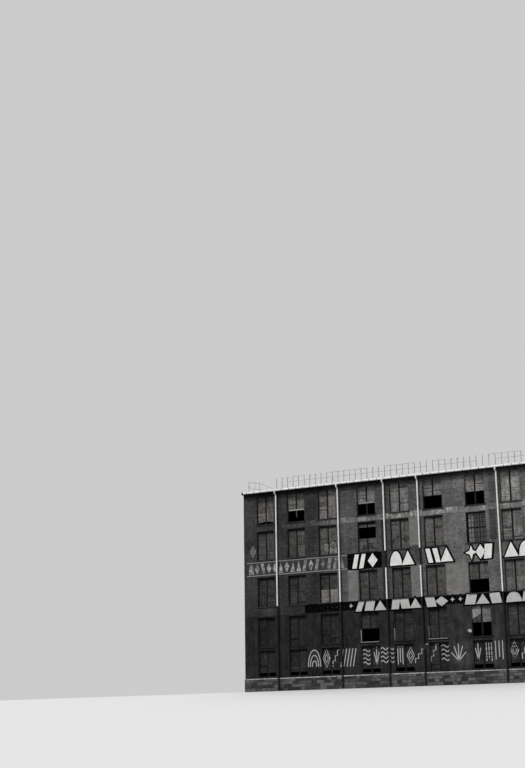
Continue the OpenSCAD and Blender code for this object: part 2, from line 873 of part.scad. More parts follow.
// Boards nailed to the face of a frame. A board's foot may slant from its left end to its right.
module board(side, foot_left, foot_right, top) {
    inner = post_w / 2;
    outer = window_w / 2 - board_gap;
    left = side < 0 ? -outer : inner;
    right = side < 0 ? -inner : outer;
    stand_in_reveal(reveal - board_t, board_t)
    polygon([[left, foot_left], [right, foot_right], [right, top], [left, top]]);
}
module board_pair(foot, top) { for (side = [-1, 1]) board(side, foot, foot, top); }
module window_boards(height, state) {
    foot = board_gap;
    below_rail = rail_at - board_gap / 2;
    above_rail = rail_at + board_gap / 2;
    top = height - board_gap;
    if (state == "boarded") board_pair(foot, below_rail);
    if (state == "slot") board_pair(slot_h, below_rail);
    if (state == "torn") {
        board(-1, torn_foot[0], torn_foot[1], below_rail);
        board(1, torn_foot[1], torn_foot[0], below_rail);
    }
    if (state == "stripped") {
        board_pair(foot, below_rail);
        board_pair(strip_at, strip_at + strip_h);
    }
    if (state != "stripped" && state != "glazed") board_pair(above_rail, top);
}
module front_boards(row) {
    color(board_grey)
    on_front()
    for (i = [0:len(front_columns) - 1])
        translate([front_columns[i], 0, sills[row]]) window_boards(heights[row], front_state(row, i));
}
module boards_on(columns) {
    for (row = rows, x = columns)
        translate([x, 0, sills[row]]) board_pair(board_gap, heights[row] - board_gap);
}
module other_boards() {
    color(board_grey) {
        on_back() boards_on(front_columns);
        on_both_ends() boards_on(end_wall_columns);
    }
}

// The window that keeps its glass: a sash under the middle rail and one above it
module each_sash() {
    side = window_w / 2 - frame_w;
    for (row = rows, i = [0:len(front_columns) - 1])
        if (front_state(row, i) == "glazed")
            translate([front_columns[i], 0, sills[row]])
                for (z = halves(heights[row], sash_rail_at, sash_rail_t)) {
                    $low = [-side, z[0]];
                    $high = [side, z[1]];
                    children();
                }
}
module sash_window() {
    bar = [sash_bar_w, sash_bar_w];
    color(old_timber)
    on_front()
    each_sash()
        stand_in_reveal(reveal + (frame_d - sash_d) / 2, sash_d)
            difference() {
                translate($low) square($high - $low);
                translate($low + bar) square($high - $low - 2 * bar);
            }
}
module sash_glass() {
    bar = [sash_bar_w, sash_bar_w];
    color("lightgray", 0.5)
    on_front()
    each_sash()
        stand_in_reveal(reveal + (frame_d - glass_t) / 2, glass_t)
            translate($low + bar) square($high - $low - 2 * bar);
}

front_plinth();
back_plinth();
end_plinths();
stone_ledge();
front_piers();
front_spandrels();
back_piers();
back_spandrels();
end_piers();
end_spandrels();
floor_slab(0, ground_floor_t);  // ground_floor
upper_floor(1);  // second_floor
upper_floor(2);  // third_floor
upper_floor(3);  // fourth_floor
upper_floor(4);  // fifth_floor
wall_plates();
gables();
front_roof_slope();
back_roof_slope();
ridge_cap();
fascias();
soffits();
gutters();
gutter_brackets();
swan_necks();
downpipes();
pipe_shoes();
pipe_clips();
railing_posts();
bent_posts();
railing_rails();
fallen_railing();
anchor_plates();
yard_lamp();
front_sills();
other_sills();
front_frames();
other_frames();
front_boards(0);  // front_boards_1
front_boards(1);  // front_boards_2
front_boards(2);  // front_boards_3
front_boards(3);  // front_boards_4
front_boards(4);  // front_boards_5
other_boards();
sash_window();
sash_glass();
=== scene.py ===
"""Looks of the five-storey brick factory building: weathered brick with bands of old paint, boarded
windows, white gutters and downpipes, a felt roof and a worn railing. Everything is in metres, and the
front faces -Y."""
import itertools
import math
import random

import bpy
from mathutils import Matrix, Vector


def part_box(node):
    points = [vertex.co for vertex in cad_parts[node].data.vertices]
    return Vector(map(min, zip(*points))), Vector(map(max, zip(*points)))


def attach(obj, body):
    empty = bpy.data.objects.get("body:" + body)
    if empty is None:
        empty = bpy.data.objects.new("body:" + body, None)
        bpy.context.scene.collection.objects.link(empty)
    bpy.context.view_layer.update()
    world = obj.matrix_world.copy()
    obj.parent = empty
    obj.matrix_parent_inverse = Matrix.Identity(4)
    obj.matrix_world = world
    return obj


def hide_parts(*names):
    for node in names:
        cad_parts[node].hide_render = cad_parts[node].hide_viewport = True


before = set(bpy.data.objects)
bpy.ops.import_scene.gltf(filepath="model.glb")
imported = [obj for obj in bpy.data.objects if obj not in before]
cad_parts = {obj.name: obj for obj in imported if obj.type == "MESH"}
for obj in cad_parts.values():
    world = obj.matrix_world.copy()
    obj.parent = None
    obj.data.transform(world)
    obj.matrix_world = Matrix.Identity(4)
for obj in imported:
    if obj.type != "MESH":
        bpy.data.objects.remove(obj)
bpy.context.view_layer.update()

DRAW = random.Random(1908)

# Camera, fitted to the photograph's window corners, gutter and ledge
CAMERA_PLACE = (50.27, -131.7, -5.17)
CAMERA_YAW = 27.78
CAMERA_PITCH = 14.94
CAMERA_ROLL = -0.81
CAMERA_LENS = 63.3
SENSOR = 36.0

# Old paint on the front wall: bands as foot and top, ends as left and right, and THIN_PAINT as left, right,
# foot and top
DARK_PAINT_TOP = 7.6
LOW_BAND = (7.6, 8.5)
MAIN_BAND = (11.62, 13.24)
SIGN_BAND = (11.68, 13.22)
LIME_BAND = (16.45, 17.0)
LOW_BAND_LEFT = -10.7
THIN_PAINT = (-10.0, 16.5, 1.9, 4.0)
BLACK_BLOCK = (-5.8, -2.0)
SIGN_ENDS = (-17.3, -5.8)
LIME_LEFT = -13.4
LIME_SPAN = 21.0
LIME_WORN = 5.9

# Mean brightness of the front's bare brick at some distances from its middle
FRONT_LEVELS = ((-14.0, 0.036), (-9.4, 0.027), (-6.9, 0.074), (-1.6, 0.051), (6.0, 0.105), (12.0, 0.09))
# Patches of pale paint on it: left, right, bottom and top
PALE_PATCHES = (
    (-5.75, -4.7, 8.5, 11.6), (0.9, 1.95, 8.5, 11.6), (0.95, 2.0, 13.6, 16.4), (4.65, 6.85, 8.5, 11.5),
)
# Dark stains on it: the same, and how much of the brick they hide
DARK_STAINS = (
    ((-1.98, -1.66, 8.5, 16.4), 0.75), ((9.25, 10.0, 13.5, 17.0), 0.6), ((9.35, 10.0, 17.0, 20.1), 0.35),
)

# Brick sizes, with the joint
BRICK_LONG = 0.212
BRICK_HIGH = 0.0667
JOINT = 0.009
# Length of the stones in the ledge and the sills
LEDGE_LENGTH = 1.15

FRONT_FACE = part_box("front_piers")[0].y
BACK_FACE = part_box("back_piers")[1].y
END_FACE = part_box("end_piers")[1].x
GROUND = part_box("front_plinth")[0].z
PLINTH_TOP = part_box("front_plinth")[1].z
WALL_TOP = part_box("front_piers")[1].z

# How far behind the walls' faces the rooms begin, and the share of its brightness that a thing keeps there
# Keeping only that share of brightness in the rooms is painted shade
WALL_DEPTH = 0.36
ROOM_DARK = 0.15


# Shader nodes
class Finish:
    """A procedural material, or the sky, with short calls for the nodes that it is made of."""

    def __init__(self, name, kind="materials", shader="Principled BSDF", place="Object"):
        self.material = getattr(bpy.data, kind).new(name)
        self.material.use_nodes = True
        self.tree = self.material.node_tree
        self.shader = self.tree.nodes[shader]
        self.coordinates = self.node("TexCoord")
        self.place = self.coordinates.outputs[place]
        self.axes = None

    def node(self, kind, **settings):
        made = self.tree.nodes.new("ShaderNode" + kind)
        for name, value in settings.items():
            setattr(made, name, value)
        return made

    def feed(self, socket, value):
        """Sets a socket to a number or colour, or links it to another socket."""
        if isinstance(value, bpy.types.NodeSocket):
            self.tree.links.new(value, socket)
        elif isinstance(value, tuple) and len(value) == 3 and socket.type == "RGBA":
            socket.default_value = (*value, 1.0)
        else:
            socket.default_value = value

    def sum(self, kind, a, b=0.0, c=0.0):
        made = self.node("Math", operation=kind)
        for socket, value in zip(made.inputs, (a, b, c)):
            self.feed(socket, value)
        return made.outputs[0]

    def times(self, product, *factors):
        for factor in factors:
            product = self.sum("MULTIPLY", product, factor)
        return product

    def plus(self, a, b):
        return self.sum("ADD", a, b)

    def most(self, value, *others):
        for other in others:
            value = self.sum("MAXIMUM", value, other)
        return value

    def blend(self, share, a, b):
        """The number a, or b where the share is 1."""
        return self.plus(self.times(a, self.sum("SUBTRACT", 1.0, share)), self.times(b, share))

    def axis(self, letter):
        if self.axes is None:
            self.axes = self.node("SeparateXYZ")
            self.feed(self.axes.inputs[0], self.place)
        return self.axes.outputs[letter]

    def range(self, value, low, high, to_low=0.0, to_high=1.0):
        """Maps low..high smoothly to to_low..to_high and holds it there beyond."""
        made = self.node("MapRange", interpolation_type="SMOOTHSTEP")
        for socket, number in zip(made.inputs, (value, low, high, to_low, to_high)):
            self.feed(socket, number)
        return made.outputs[0]

    def within(self, value, low, high, soft):
        """1 from low to high, and 0 outside."""
        risen = self.range(value, low - soft, low + soft)
        return self.times(risen, self.range(value, high - soft, high + soft, 1, 0))

    def noise(self, scale, detail=3.0, rough=0.55, place=None):
        made = self.node("TexNoise")
        self.feed(made.inputs["Vector"], self.place if place is None else place)
        made.inputs["Scale"].default_value = scale
        made.inputs["Detail"].default_value = detail
        made.inputs["Roughness"].default_value = rough
        return made.outputs["Fac"]

    def streaks(self, across, up, detail=4.0, rough=0.6):
        """Noise with one scale sideways and another up and down."""
        made = self.node("VectorMath", operation="MULTIPLY")
        self.feed(made.inputs[0], self.place)
        made.inputs[1].default_value = (across, across, up)
        return self.noise(1.0, detail, rough, made.outputs[0])

    def uneven(self, low, high, *noise):
        """Noise spread out between low and high."""
        return self.range(self.noise(*noise), 0.3, 0.7, low, high)

    def mix(self, share, a, b):
        made = self.node("Mix", data_type="RGBA")
        self.feed(made.inputs["Factor"], share)
        self.feed(made.inputs[6], a)
        self.feed(made.inputs[7], b)
        return made.outputs[2]

    def shade(self, colour, factor):
        """A colour made darker or lighter by a factor that varies."""
        made = self.node("VectorMath", operation="SCALE")
        self.feed(made.inputs[0], colour)
        self.feed(made.inputs["Scale"], factor)
        return made.outputs[0]

    def attribute(self, name):
        return self.node("Attribute", attribute_name=name).outputs["Fac"]

    def bump(self, height, distance):
        made = self.node("Bump")
        made.inputs["Distance"].default_value = distance
        self.feed(made.inputs["Height"], height)
        self.feed(self.shader.inputs["Normal"], made.outputs[0])

    def on_front(self):
        """1 on the front wall's face and on what stands out from it."""
        return self.sum("LESS_THAN", self.axis("Y"), FRONT_FACE + 0.02)

    def seen(self):
        """1 for rays that show a surface, and 0 for those that light others."""
        rays = self.node("LightPath").outputs
        return self.most(*(rays[f"Is {kind} Ray"] for kind in ("Camera", "Glossy", "Transmission")))

    def rooms(self):
        """1 inside the building and 0 outside it."""
        inside = self.sum("LESS_THAN", self.axis("Z"), WALL_TOP)
        for letter, limit in (("X", END_FACE), ("Y", -FRONT_FACE)):
            near = self.sum("LESS_THAN", self.sum("ABSOLUTE", self.axis(letter)), limit - WALL_DEPTH)
            inside = self.times(inside, near)
        return inside

    def finish(self, colour, rough, specular=0.12):
        """Ends the material. What lies in the rooms is darkened, as painted shade."""
        # Painted shade: whatever lies in the rooms keeps only ROOM_DARK of its brightness
        room_shade = self.range(self.rooms(), 0.0, 1.0, 1.0, ROOM_DARK)
        self.feed(self.shader.inputs["Base Color"], self.shade(colour, room_shade))
        self.feed(self.shader.inputs["Roughness"], rough)
        self.shader.inputs["Specular IOR Level"].default_value = specular
        return self.material


def grey(level, warmth=0.02):
    """A near-neutral grey of that brightness, a little warm."""
    return (level * (1 + warmth), level, level * (1 - warmth))


def plain_finish(name, colour, tones, grain, relief, rough):
    """One colour, with the numbers of its uneven tones and of its grain."""
    f = Finish(name)
    f.bump(f.noise(*grain), relief)
    return f.finish(f.shade(colour, f.uneven(*tones)), rough)


# Brick
def brick_bond(f):
    """Per-brick tone, 0 to 1, and the share of mortar, on every face of a wall."""
    normal = f.node("SeparateXYZ")
    f.feed(normal.inputs[0], f.coordinates.outputs["Normal"])
    sideways = f.sum("GREATER_THAN", f.sum("ABSOLUTE", normal.outputs["X"]), 0.5)
    level = f.sum("GREATER_THAN", f.sum("ABSOLUTE", normal.outputs["Z"]), 0.5)
    up = f.blend(level, f.axis("Z"), f.axis("Y"))
    spot = f.node("CombineXYZ")
    f.feed(spot.inputs[0], f.blend(sideways, f.axis("X"), f.axis("Y")))
    f.feed(spot.inputs[1], up)
    course = f.sum("FLOOR", f.sum("DIVIDE", up, BRICK_HIGH))
    headers = f.sum("LESS_THAN", f.sum("FLOORED_MODULO", course, 6.0), 0.5)
    tones, joints = [], []
    for length in (BRICK_LONG, BRICK_LONG / 2):
        bond = f.node("TexBrick")
        f.feed(bond.inputs["Vector"], spot.outputs[0])
        settings = {
            "Color1": (0, 0, 0, 1), "Color2": (1, 1, 1, 1), "Mortar": (0.5, 0.5, 0.5, 1), "Scale": 1.0,
            "Mortar Size": JOINT / 2, "Mortar Smooth": 0.2, "Brick Width": length, "Row Height": BRICK_HIGH,
        }
        for socket, value in settings.items():
            bond.inputs[socket].default_value = value
        tones.append(bond.outputs["Color"])
        joints.append(bond.outputs["Fac"])
    split = f.node("SeparateColor")
    f.feed(split.inputs[0], f.mix(headers, *tones))
    return split.outputs[0], f.blend(headers, *joints)


def brick_base(f, level):
    """Bare weathered brick of a mean brightness, a number or a socket. Returns colour and mortar share."""
    tone, joint = brick_bond(f)
    blotches = f.uneven(0.76, 1.24, 0.45, 4.0)
    patches = f.uneven(0.86, 1.14, 1.5, 6.0, 0.7)
    courses = f.range(f.streaks(0.22, 10.0, 3.0), 0.3, 0.7, 0.86, 1.14)
    runs = f.range(f.streaks(3.4, 0.2), 0.3, 0.72, 1.18, 0.78)
    each = f.range(tone, 0.0, 1.0, 0.68, 1.34)
    factor = f.times(blotches, patches, runs, each, courses)
    bricks = f.shade(f.mix(tone, (1.05, 0.99, 0.95), (0.99, 1.0, 1.01)), f.times(level, factor))
    mortar = f.shade(grey(1.0), f.times(level, blotches, 1.12))
    # Painted shade under the eaves: the top of the wall is made darker
    height = f.plus(f.axis("Z"), f.times(f.noise(1.6), 0.5))
    eaves_shade = f.range(height, WALL_TOP - 0.35, WALL_TOP + 0.12, 1.0, 0.25)
    return f.shade(f.mix(joint, bricks, mortar), eaves_shade), joint


def brick_relief(f, joint, distance=0.008):
    grain = f.noise(42.0, 4.0, 0.7)
    f.bump(f.plus(f.sum("SUBTRACT", 1.0, joint), f.times(grain, 0.35)), distance)


def brick_plain():
    f = Finish("brick_plain")
    colour, joint = brick_base(f, 0.07)
    brick_relief(f, joint)
    return f.finish(colour, f.uneven(0.82, 0.95, 20.0), 0.03)


def front_level(f):
    """Mean brightness of the front's brick: dark towards the left, paler towards the right."""
    ramp = f.node("ValToRGB")
    span = 2 * END_FACE
    f.feed(ramp.inputs[0], f.sum("MULTIPLY_ADD", f.axis("X"), 1 / span, 0.5))
    elements = ramp.color_ramp.elements
    while len(elements) < len(FRONT_LEVELS):
        elements.new(0.5)
    for element, (x, level) in zip(elements, FRONT_LEVELS):
        element.position = x / span + 0.5
        element.color = (level, level, level, 1)
    return ramp.outputs["Color"]


def box_mask(f, left, right, bottom, top, soft):
    return f.times(f.within(f.axis("X"), left, right, soft), f.within(f.axis("Z"), bottom, top, soft))


def brick_front():
    """Front brick with its bands and patches of old paint."""
    f = Finish("brick_front")
    colour, joint = brick_base(f, front_level(f))
    outside = f.on_front()
    x, z = f.axis("X"), f.axis("Z")
    ragged = f.plus(x, f.uneven(-0.25, 0.25, 1.3, 4.0))

    def cover(under, mask, keep, scale, tone):
        """Old paint over what lies under it, lost in specks of that scale."""
        chips = f.range(f.noise(scale, 6.0, 0.72), 0.34, 0.42, 1 - keep, 1.0)
        return f.mix(f.times(mask, chips, keep, outside), under, tone)

    pale = f.most(*(box_mask(f, *patch, soft=0.12) for patch in PALE_PATCHES))
    pale_tone = f.shade(grey(0.155), f.uneven(0.78, 1.22, 2.2, 5.0, 0.65))
    smears = f.range(f.noise(1.1, 5.0, 0.7), 0.62, 0.74)
    pale_tone = f.mix(smears, pale_tone, grey(0.32))
    colour = cover(colour, pale, 0.85, 2.5, pale_tone)

    for stain, share in DARK_STAINS:
        mask = f.times(box_mask(f, *stain, soft=0.12), outside)
        colour = f.mix(f.times(mask, share), colour, grey(0.012))

    rising = f.range(ragged, LIME_LEFT, LIME_LEFT + LIME_SPAN, 0.05, 1.0)
    begun = f.sum("GREATER_THAN", ragged, LIME_LEFT)
    fading = f.range(ragged, LIME_WORN - 0.5, LIME_WORN + 0.5, 1.0, 0.5)
    lime = f.times(f.within(z, *LIME_BAND, 0.05), rising, begun, fading)
    flakes = f.range(f.streaks(3.0, 1.5, 6.0, 0.72), 0.5, 0.56)
    colour = cover(colour, lime, 0.8, 4.0, f.mix(flakes, grey(0.17), grey(0.48)))

    sign = f.times(f.within(x, *SIGN_ENDS, 0.03), f.within(z, *SIGN_BAND, 0.02))
    colour = cover(colour, sign, 0.7, 2.0, grey(0.04))
    for line in (SIGN_BAND[0] + 0.08, SIGN_BAND[1] - 0.1):
        edge = f.times(f.within(x, *SIGN_ENDS, 0.03), f.within(z, line - 0.05, line + 0.05, 0.012))
        colour = cover(colour, edge, 0.75, 3.0, grey(0.24))

    low = f.times(f.within(z, *LOW_BAND, 0.015), f.range(x, LOW_BAND_LEFT, LOW_BAND_LEFT + 0.05))
    black = f.most(low, box_mask(f, *BLACK_BLOCK, *MAIN_BAND, 0.03))
    dark = f.range(z, DARK_PAINT_TOP - 0.02, DARK_PAINT_TOP + 0.02, 1, 0)
    rain = f.range(f.streaks(2.0, 0.3), 0.3, 0.7, 0.7, 1.3)
    thin_paint = f.range(box_mask(f, *THIN_PAINT, soft=0.4), 0.0, 1.0, 1.0, 1.4)
    to_right = f.range(x, 1.5, 5.5, 1.0, 1.5)
    level = f.times(rain, f.uneven(0.7, 1.35, 1.1, 5.0, 0.65), thin_paint, to_right)
    colour = cover(colour, dark, 0.985, 6.0, f.shade(grey(0.017), level))
    colour = cover(colour, black, 0.995, 6.0, grey(0.0015))
    brick_relief(f, joint)
    return f.finish(colour, f.uneven(0.8, 0.95, 20.0), 0.01)


def painted_brick(name, level, keep=0.97, under=0.07):
    """Bold paint on brick, with the bond showing through and specks worn away."""
    f = Finish(name)
    joint = brick_bond(f)[1]
    base = f.shade(grey(level), f.uneven(0.88, 1.08, 2.0, 5.0, 0.6))
    base = f.mix(f.times(joint, 0.35), base, grey(level * 0.6))
    chips = f.range(f.noise(14.0, 6.0, 0.75), 0.36, 0.4, 1 - keep, 1.0)
    brick_relief(f, joint, 0.005)
    return f.finish(f.mix(chips, grey(under), base), 0.8, 0.02)


def faded_paint():
    """What is left of old pale paint, in flakes on a dull ground."""
    f = Finish("faded_paint")
    joint = brick_bond(f)[1]
    patchy = f.range(f.noise(0.7, 3.0), 0.35, 0.65, 0.35, 1.0)
    left = f.times(f.range(f.noise(3.2, 6.0, 0.7), 0.36, 0.6), patchy)
    brick_relief(f, joint, 0.005)
    return f.finish(f.mix(left, grey(0.07), grey(0.34)), 0.85, 0.02)


# Stone
def foundation_finish():
    f = Finish("foundation")
    tone = f.range(f.attribute("tone"), 0.0, 1.0, 0.42, 1.85)
    stains = f.uneven(0.75, 1.2, 1.2, 5.0, 0.65)
    grain = f.noise(24.0, 6.0, 0.7)
    level = f.times(tone, stains, f.range(grain, 0.25, 0.75, 0.8, 1.2))
    damp = f.range(f.plus(f.axis("Z"), f.times(f.noise(2.0), 0.4)), 0.1, 0.7, 0.7, 1.0)
    f.bump(f.plus(f.noise(7.0, 5.0, 0.7), f.times(grain, 0.3)), 0.02)
    return f.finish(f.shade(grey(0.055), f.times(level, damp)), 0.92)


def ledge_finish(name, level):
    """Sills and ledge: stone with rain stains, partly under the dark paint on the front."""
    f = Finish(name)
    stains = f.uneven(0.55, 1.25, 2.6, 5.0, 0.7)
    runs = f.range(f.streaks(9.0, 1.0), 0.3, 0.7, 1.15, 0.75)
    painted = f.times(f.on_front(), f.within(f.axis("Z"), PLINTH_TOP + 0.15, 8.0, 0.05))
    joints = f.range(f.sum("FRACT", f.times(f.axis("X"), 1 / LEDGE_LENGTH)), 0.0, 0.012, 0.35, 1.0)
    bare = f.shade(grey(level), f.times(stains, joints, runs))
    f.bump(f.noise(30.0, 6.0, 0.7), 0.004)
    return f.finish(f.mix(f.times(painted, 0.85), bare, grey(0.014)), 0.88, 0.03)


# Timber
def old_timber_finish():
    """Frames, plates, fascias and soffits: nearly black timber with scraps of old paint."""
    f = Finish("old_timber")
    grain = f.streaks(30.0, 3.0, 5.0)
    scraps = f.range(f.noise(6.0, 6.0, 0.75), 0.62, 0.7)
    base = f.shade(grey(0.01), f.range(grain, 0.3, 0.7, 0.6, 1.5))
    f.bump(grain, 0.003)
    return f.finish(f.mix(f.times(scraps, 0.4), base, grey(0.05)), 0.85, 0.03)


def board_finish():
    """Weathered sheets and planks, each with its own tone."""
    f = Finish("boards")
    tone = f.attribute("tone")
    grain = f.streaks(36.0, 2.0, 5.0, 0.65)
    cloudy = f.uneven(0.58, 1.42, 3.0, 6.0, 0.75)
    runs = f.range(f.streaks(7.0, 0.5), 0.35, 0.75, 1.08, 0.72)
    knots = f.range(f.noise(5.5, 2.0, 0.5), 0.72, 0.78, 1.0, 0.6)
    factor = f.times(cloudy, runs, knots, f.range(grain, 0.25, 0.75, 0.82, 1.18))
    # Painted shade under each row's window heads: the tops of the boards are made darker
    for head, share in zip(HEADS, HEAD_SHADE):
        head_shade = f.within(f.plus(f.axis("Z"), f.times(f.noise(5.0), 0.1)), head - 0.17, head + 0.3, 0.07)
        factor = f.times(factor, f.range(head_shade, 0.0, 1.0, 1.0, share))
    f.bump(grain, 0.004)
    return f.finish(f.shade(grey(1.0, 0.03), f.times(tone, factor)), 0.88, 0.02)


def trim_finish():
    """Scraps of pale paint on window parts, each with its own tone."""
    f = Finish("trim_paint")
    lost = f.range(f.noise(14.0, 6.0, 0.75), 0.36, 0.4)
    return f.finish(f.mix(lost, grey(0.02), f.shade(grey(1.0), f.attribute("tone"))), 0.8, 0.02)


def floor_finish():
    f = Finish("floor_timber")
    gaps = f.range(f.sum("FRACT", f.times(f.axis("Y"), 7.0)), 0.0, 0.04, 0.3, 1.0)
    f.bump(gaps, 0.004)
    return f.finish(f.shade(grey(0.07, 0.06), f.times(gaps, f.uneven(0.7, 1.2, 2.0))), 0.8)


# Metal, glass and felt
def white_metal_finish():
    """White paint on gutters and downpipes: dirty, rusty in spots, and overpainted low on the front."""
    f = Finish("white_metal")
    z = f.axis("Z")
    dirt = f.range(f.noise(3.0, 5.0, 0.7), 0.4, 0.8, 1.0, 0.7)
    runs = f.range(f.streaks(6.0, 0.4), 0.45, 0.8, 1.0, 0.78)
    # Painted highlight: the white is made paler towards the eaves, so the gutters are brighter than the
    # downpipes
    level = f.range(z, WALL_TOP - 0.1, WALL_TOP, 0.66, 0.8)
    base = f.shade(grey(1.0, 0.01), f.times(level, dirt, runs))
    rust = f.range(f.noise(11.0, 6.0, 0.75), 0.64, 0.72)
    base = f.mix(f.times(rust, 0.7), base, grey(0.09, 0.12))
    front = f.sum("LESS_THAN", f.axis("Y"), 0.0)
    low = f.range(z, LOW_BAND[1] - 0.02, LOW_BAND[1] + 0.02, 1, 0)
    over = box_mask(f, -2.0, 3.0, MAIN_BAND[0] - 0.05, MAIN_BAND[1] + 0.03, 0.03)
    hidden = f.times(front, f.most(low, over))
    f.bump(f.noise(25.0, 4.0, 0.6), 0.001)
    colour = f.mix(f.times(hidden, 0.99), base, grey(0.009))
    return f.finish(colour, f.range(hidden, 0.0, 1.0, 0.5, 0.9), 0.05)


def rail_iron_finish():
    f = Finish("rail_iron")
    rust = f.range(f.noise(6.0, 6.0, 0.75), 0.42, 0.62)
    base = f.shade(grey(0.4), f.uneven(0.75, 1.1, 2.0, 3.0))
    f.bump(f.noise(60.0, 5.0, 0.7), 0.0015)
    return f.finish(f.mix(f.times(rust, 0.8), base, grey(0.1, 0.14)), 0.7)


def felt_finish():
    """Roof felt in strips, each with its own tone, with patches and dried puddles."""
    f = Finish("roof_felt")
    strip = f.range(f.attribute("tone"), 0.0, 1.0, 0.82, 1.16)
    puddles = f.range(f.noise(0.35, 4.0, 0.6), 0.45, 0.62, 1.0, 1.4)
    grit = f.noise(90.0, 4.0, 0.8)
    patches = f.uneven(0.8, 1.2, 1.4, 5.0, 0.6)
    f.bump(f.plus(f.times(grit, 0.4), f.noise(3.0, 4.0)), 0.006)
    level = f.times(strip, puddles, patches, f.range(grit, 0.3, 0.7, 0.85, 1.15))
    return f.finish(f.shade(grey(0.06, 0.0), level), 0.93)


def glass_finish():
    """Old glass, grey with dust, and paler in its left third."""
    f = Finish("window_glass")
    dust = f.uneven(0.6, 1.1, 2.4, 5.0, 0.7)
    left, right = (corner.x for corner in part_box("sash_glass"))
    third = left + (right - left) / 3
    side = f.range(f.axis("X"), third - 0.01, third + 0.01, 0.135, 0.036)
    return f.finish(f.shade(grey(1.0), f.times(side, dust)), 0.25, 0.5)


# Meshes
def placed(name, data):
    """A new object in the scene."""
    made = bpy.data.objects.new(name, data)
    bpy.context.scene.collection.objects.link(made)
    return made


def on_ellipse(x, z, across, up, turn):
    """The point at that turn round the centre (x, z)."""
    return x + across * math.cos(turn), z + up * math.sin(turn)


def rectangle(left, right, foot, head):
    """Its corners, anticlockwise as seen from -Y."""
    return [(left, foot), (right, foot), (right, head), (left, head)]


class Heap:
    """One mesh made of many small solids, each with its own tone."""

    def __init__(self):
        self.points = []
        self.faces = []
        self.tones = []

    def solid(self, points, faces, tone=0.5, matrix=None):
        start = len(self.points)
        self.points += [tuple(matrix @ Vector(p)) if matrix else tuple(p) for p in points]
        self.faces += [tuple(start + i for i in face) for face in faces]
        self.tones += [tone] * len(faces)

    def prism(self, outline, low, high, tone=0.5, matrix=None):
        """A closed solid on an outline of (x, z), from y = low to y = high. The outline runs anticlockwise
        as seen from -Y."""
        count = len(outline)
        points = [(x, low, z) for x, z in outline] + [(x, high, z) for x, z in outline]
        faces = [tuple(range(count)), tuple(range(2 * count - 1, count - 1, -1))]
        faces += [(i, i + count, (i + 1) % count + count, (i + 1) % count) for i in range(count)]
        self.solid(points, faces, tone, matrix)

    def box(self, low, high, tone=0.5, matrix=None):
        self.prism(rectangle(low[0], high[0], low[2], high[2]), low[1], high[1], tone, matrix)

    def head(self, x, z, radius, low, high, tone, matrix):
        """A six-sided nail or bolt head."""
        outline = [on_ellipse(x, z, radius, radius, i * math.pi / 3) for i in range(6)]
        self.prism(outline, low, high, tone, matrix)

    def piece(self, name, material, slot, replaces=()):
        mesh = bpy.data.meshes.new(name)
        mesh.from_pydata(self.points, [], self.faces)
        tones = mesh.attributes.new("tone", "FLOAT", "FACE")
        tones.data.foreach_set("value", self.tones)
        mesh.materials.append(material)
        made = placed(name, mesh)
        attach(made, "root")
        if replaces:
            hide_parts(*replaces)


def coat(node, *materials):
    """Gives a CAD node its materials, and returns its mesh."""
    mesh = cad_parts[node].data
    mesh.materials.clear()
    for material in materials:
        mesh.materials.append(material)
    return mesh


def solids_of(node):
    """The corner points of each solid in a CAD node."""
    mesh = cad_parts[node].data
    spots = {}
    at = [spots.setdefault(tuple(round(c, 4) for c in v.co), len(spots)) for v in mesh.vertices]
    parent = list(range(len(spots)))

    def root(i):
        while parent[i] != i:
            parent[i] = parent[parent[i]]
            i = parent[i]
        return i

    for face in mesh.polygons:
        first = root(at[face.vertices[0]])
        for v in face.vertices:
            parent[root(at[v])] = first
    groups = {}
    for spot, i in spots.items():
        groups.setdefault(root(i), []).append(Vector(spot))
    return list(groups.values())


def extent(points):
    """Lowest and highest corner of some points."""
    return tuple(Vector(end(p[i] for p in points) for i in range(3)) for end in (min, max))


# Each wall's own frame: x runs along the wall to the right as seen from outside, y runs into the building
WALLS = {
    "front": Matrix.Translation((0, FRONT_FACE, 0)),
    "back": Matrix.Rotation(math.pi, 4, "Z") @ Matrix.Translation((0, -BACK_FACE, 0)),
    "right": Matrix.Rotation(math.pi / 2, 4, "Z") @ Matrix.Translation((0, -END_FACE, 0)),
    "left": Matrix.Rotation(-math.pi / 2, 4, "Z") @ Matrix.Translation((0, -END_FACE, 0)),
}


def wall_of(points):
    """The name of the wall that a flat solid stands in, and its points in that wall's frame."""
    low, high = extent(points)
    middle = (low + high) / 2
    if high.x - low.x > high.y - low.y:
        name = "front" if middle.y < 0 else "back"
    else:
        name = "left" if middle.x < 0 else "right"
    inward = WALLS[name].inverted()
    return name, [inward @ p for p in points]


# Windows are told apart by their row and column, counted from 0. ROW_LEVELS part the rows. HEAD_SHADE is
# the share of its brightness that a board keeps just under the head, row by row: painted shade from the
# head.
ROW_LEVELS = (4.3, 8.0, 12.4, 16.7)
FRAMES = [extent(points) for points in solids_of("front_frames")]
COLUMN_CENTRES = sorted({round((low.x + high.x) / 2, 3) for low, high in FRAMES})
HEADS = sorted({round(high.z, 3) for low, high in FRAMES})
HEAD_SHADE = (0.8, 0.6, 0.35, 0.35, 0.75)


def window_of(low, high):
    """Row and column of the window that a solid on the front belongs to."""
    middle = (low + high) / 2
    row = sum(middle.z > level for level in ROW_LEVELS)
    column = min(range(len(COLUMN_CENTRES)), key=lambda i: abs(COLUMN_CENTRES[i] - middle.x))
    return row, column


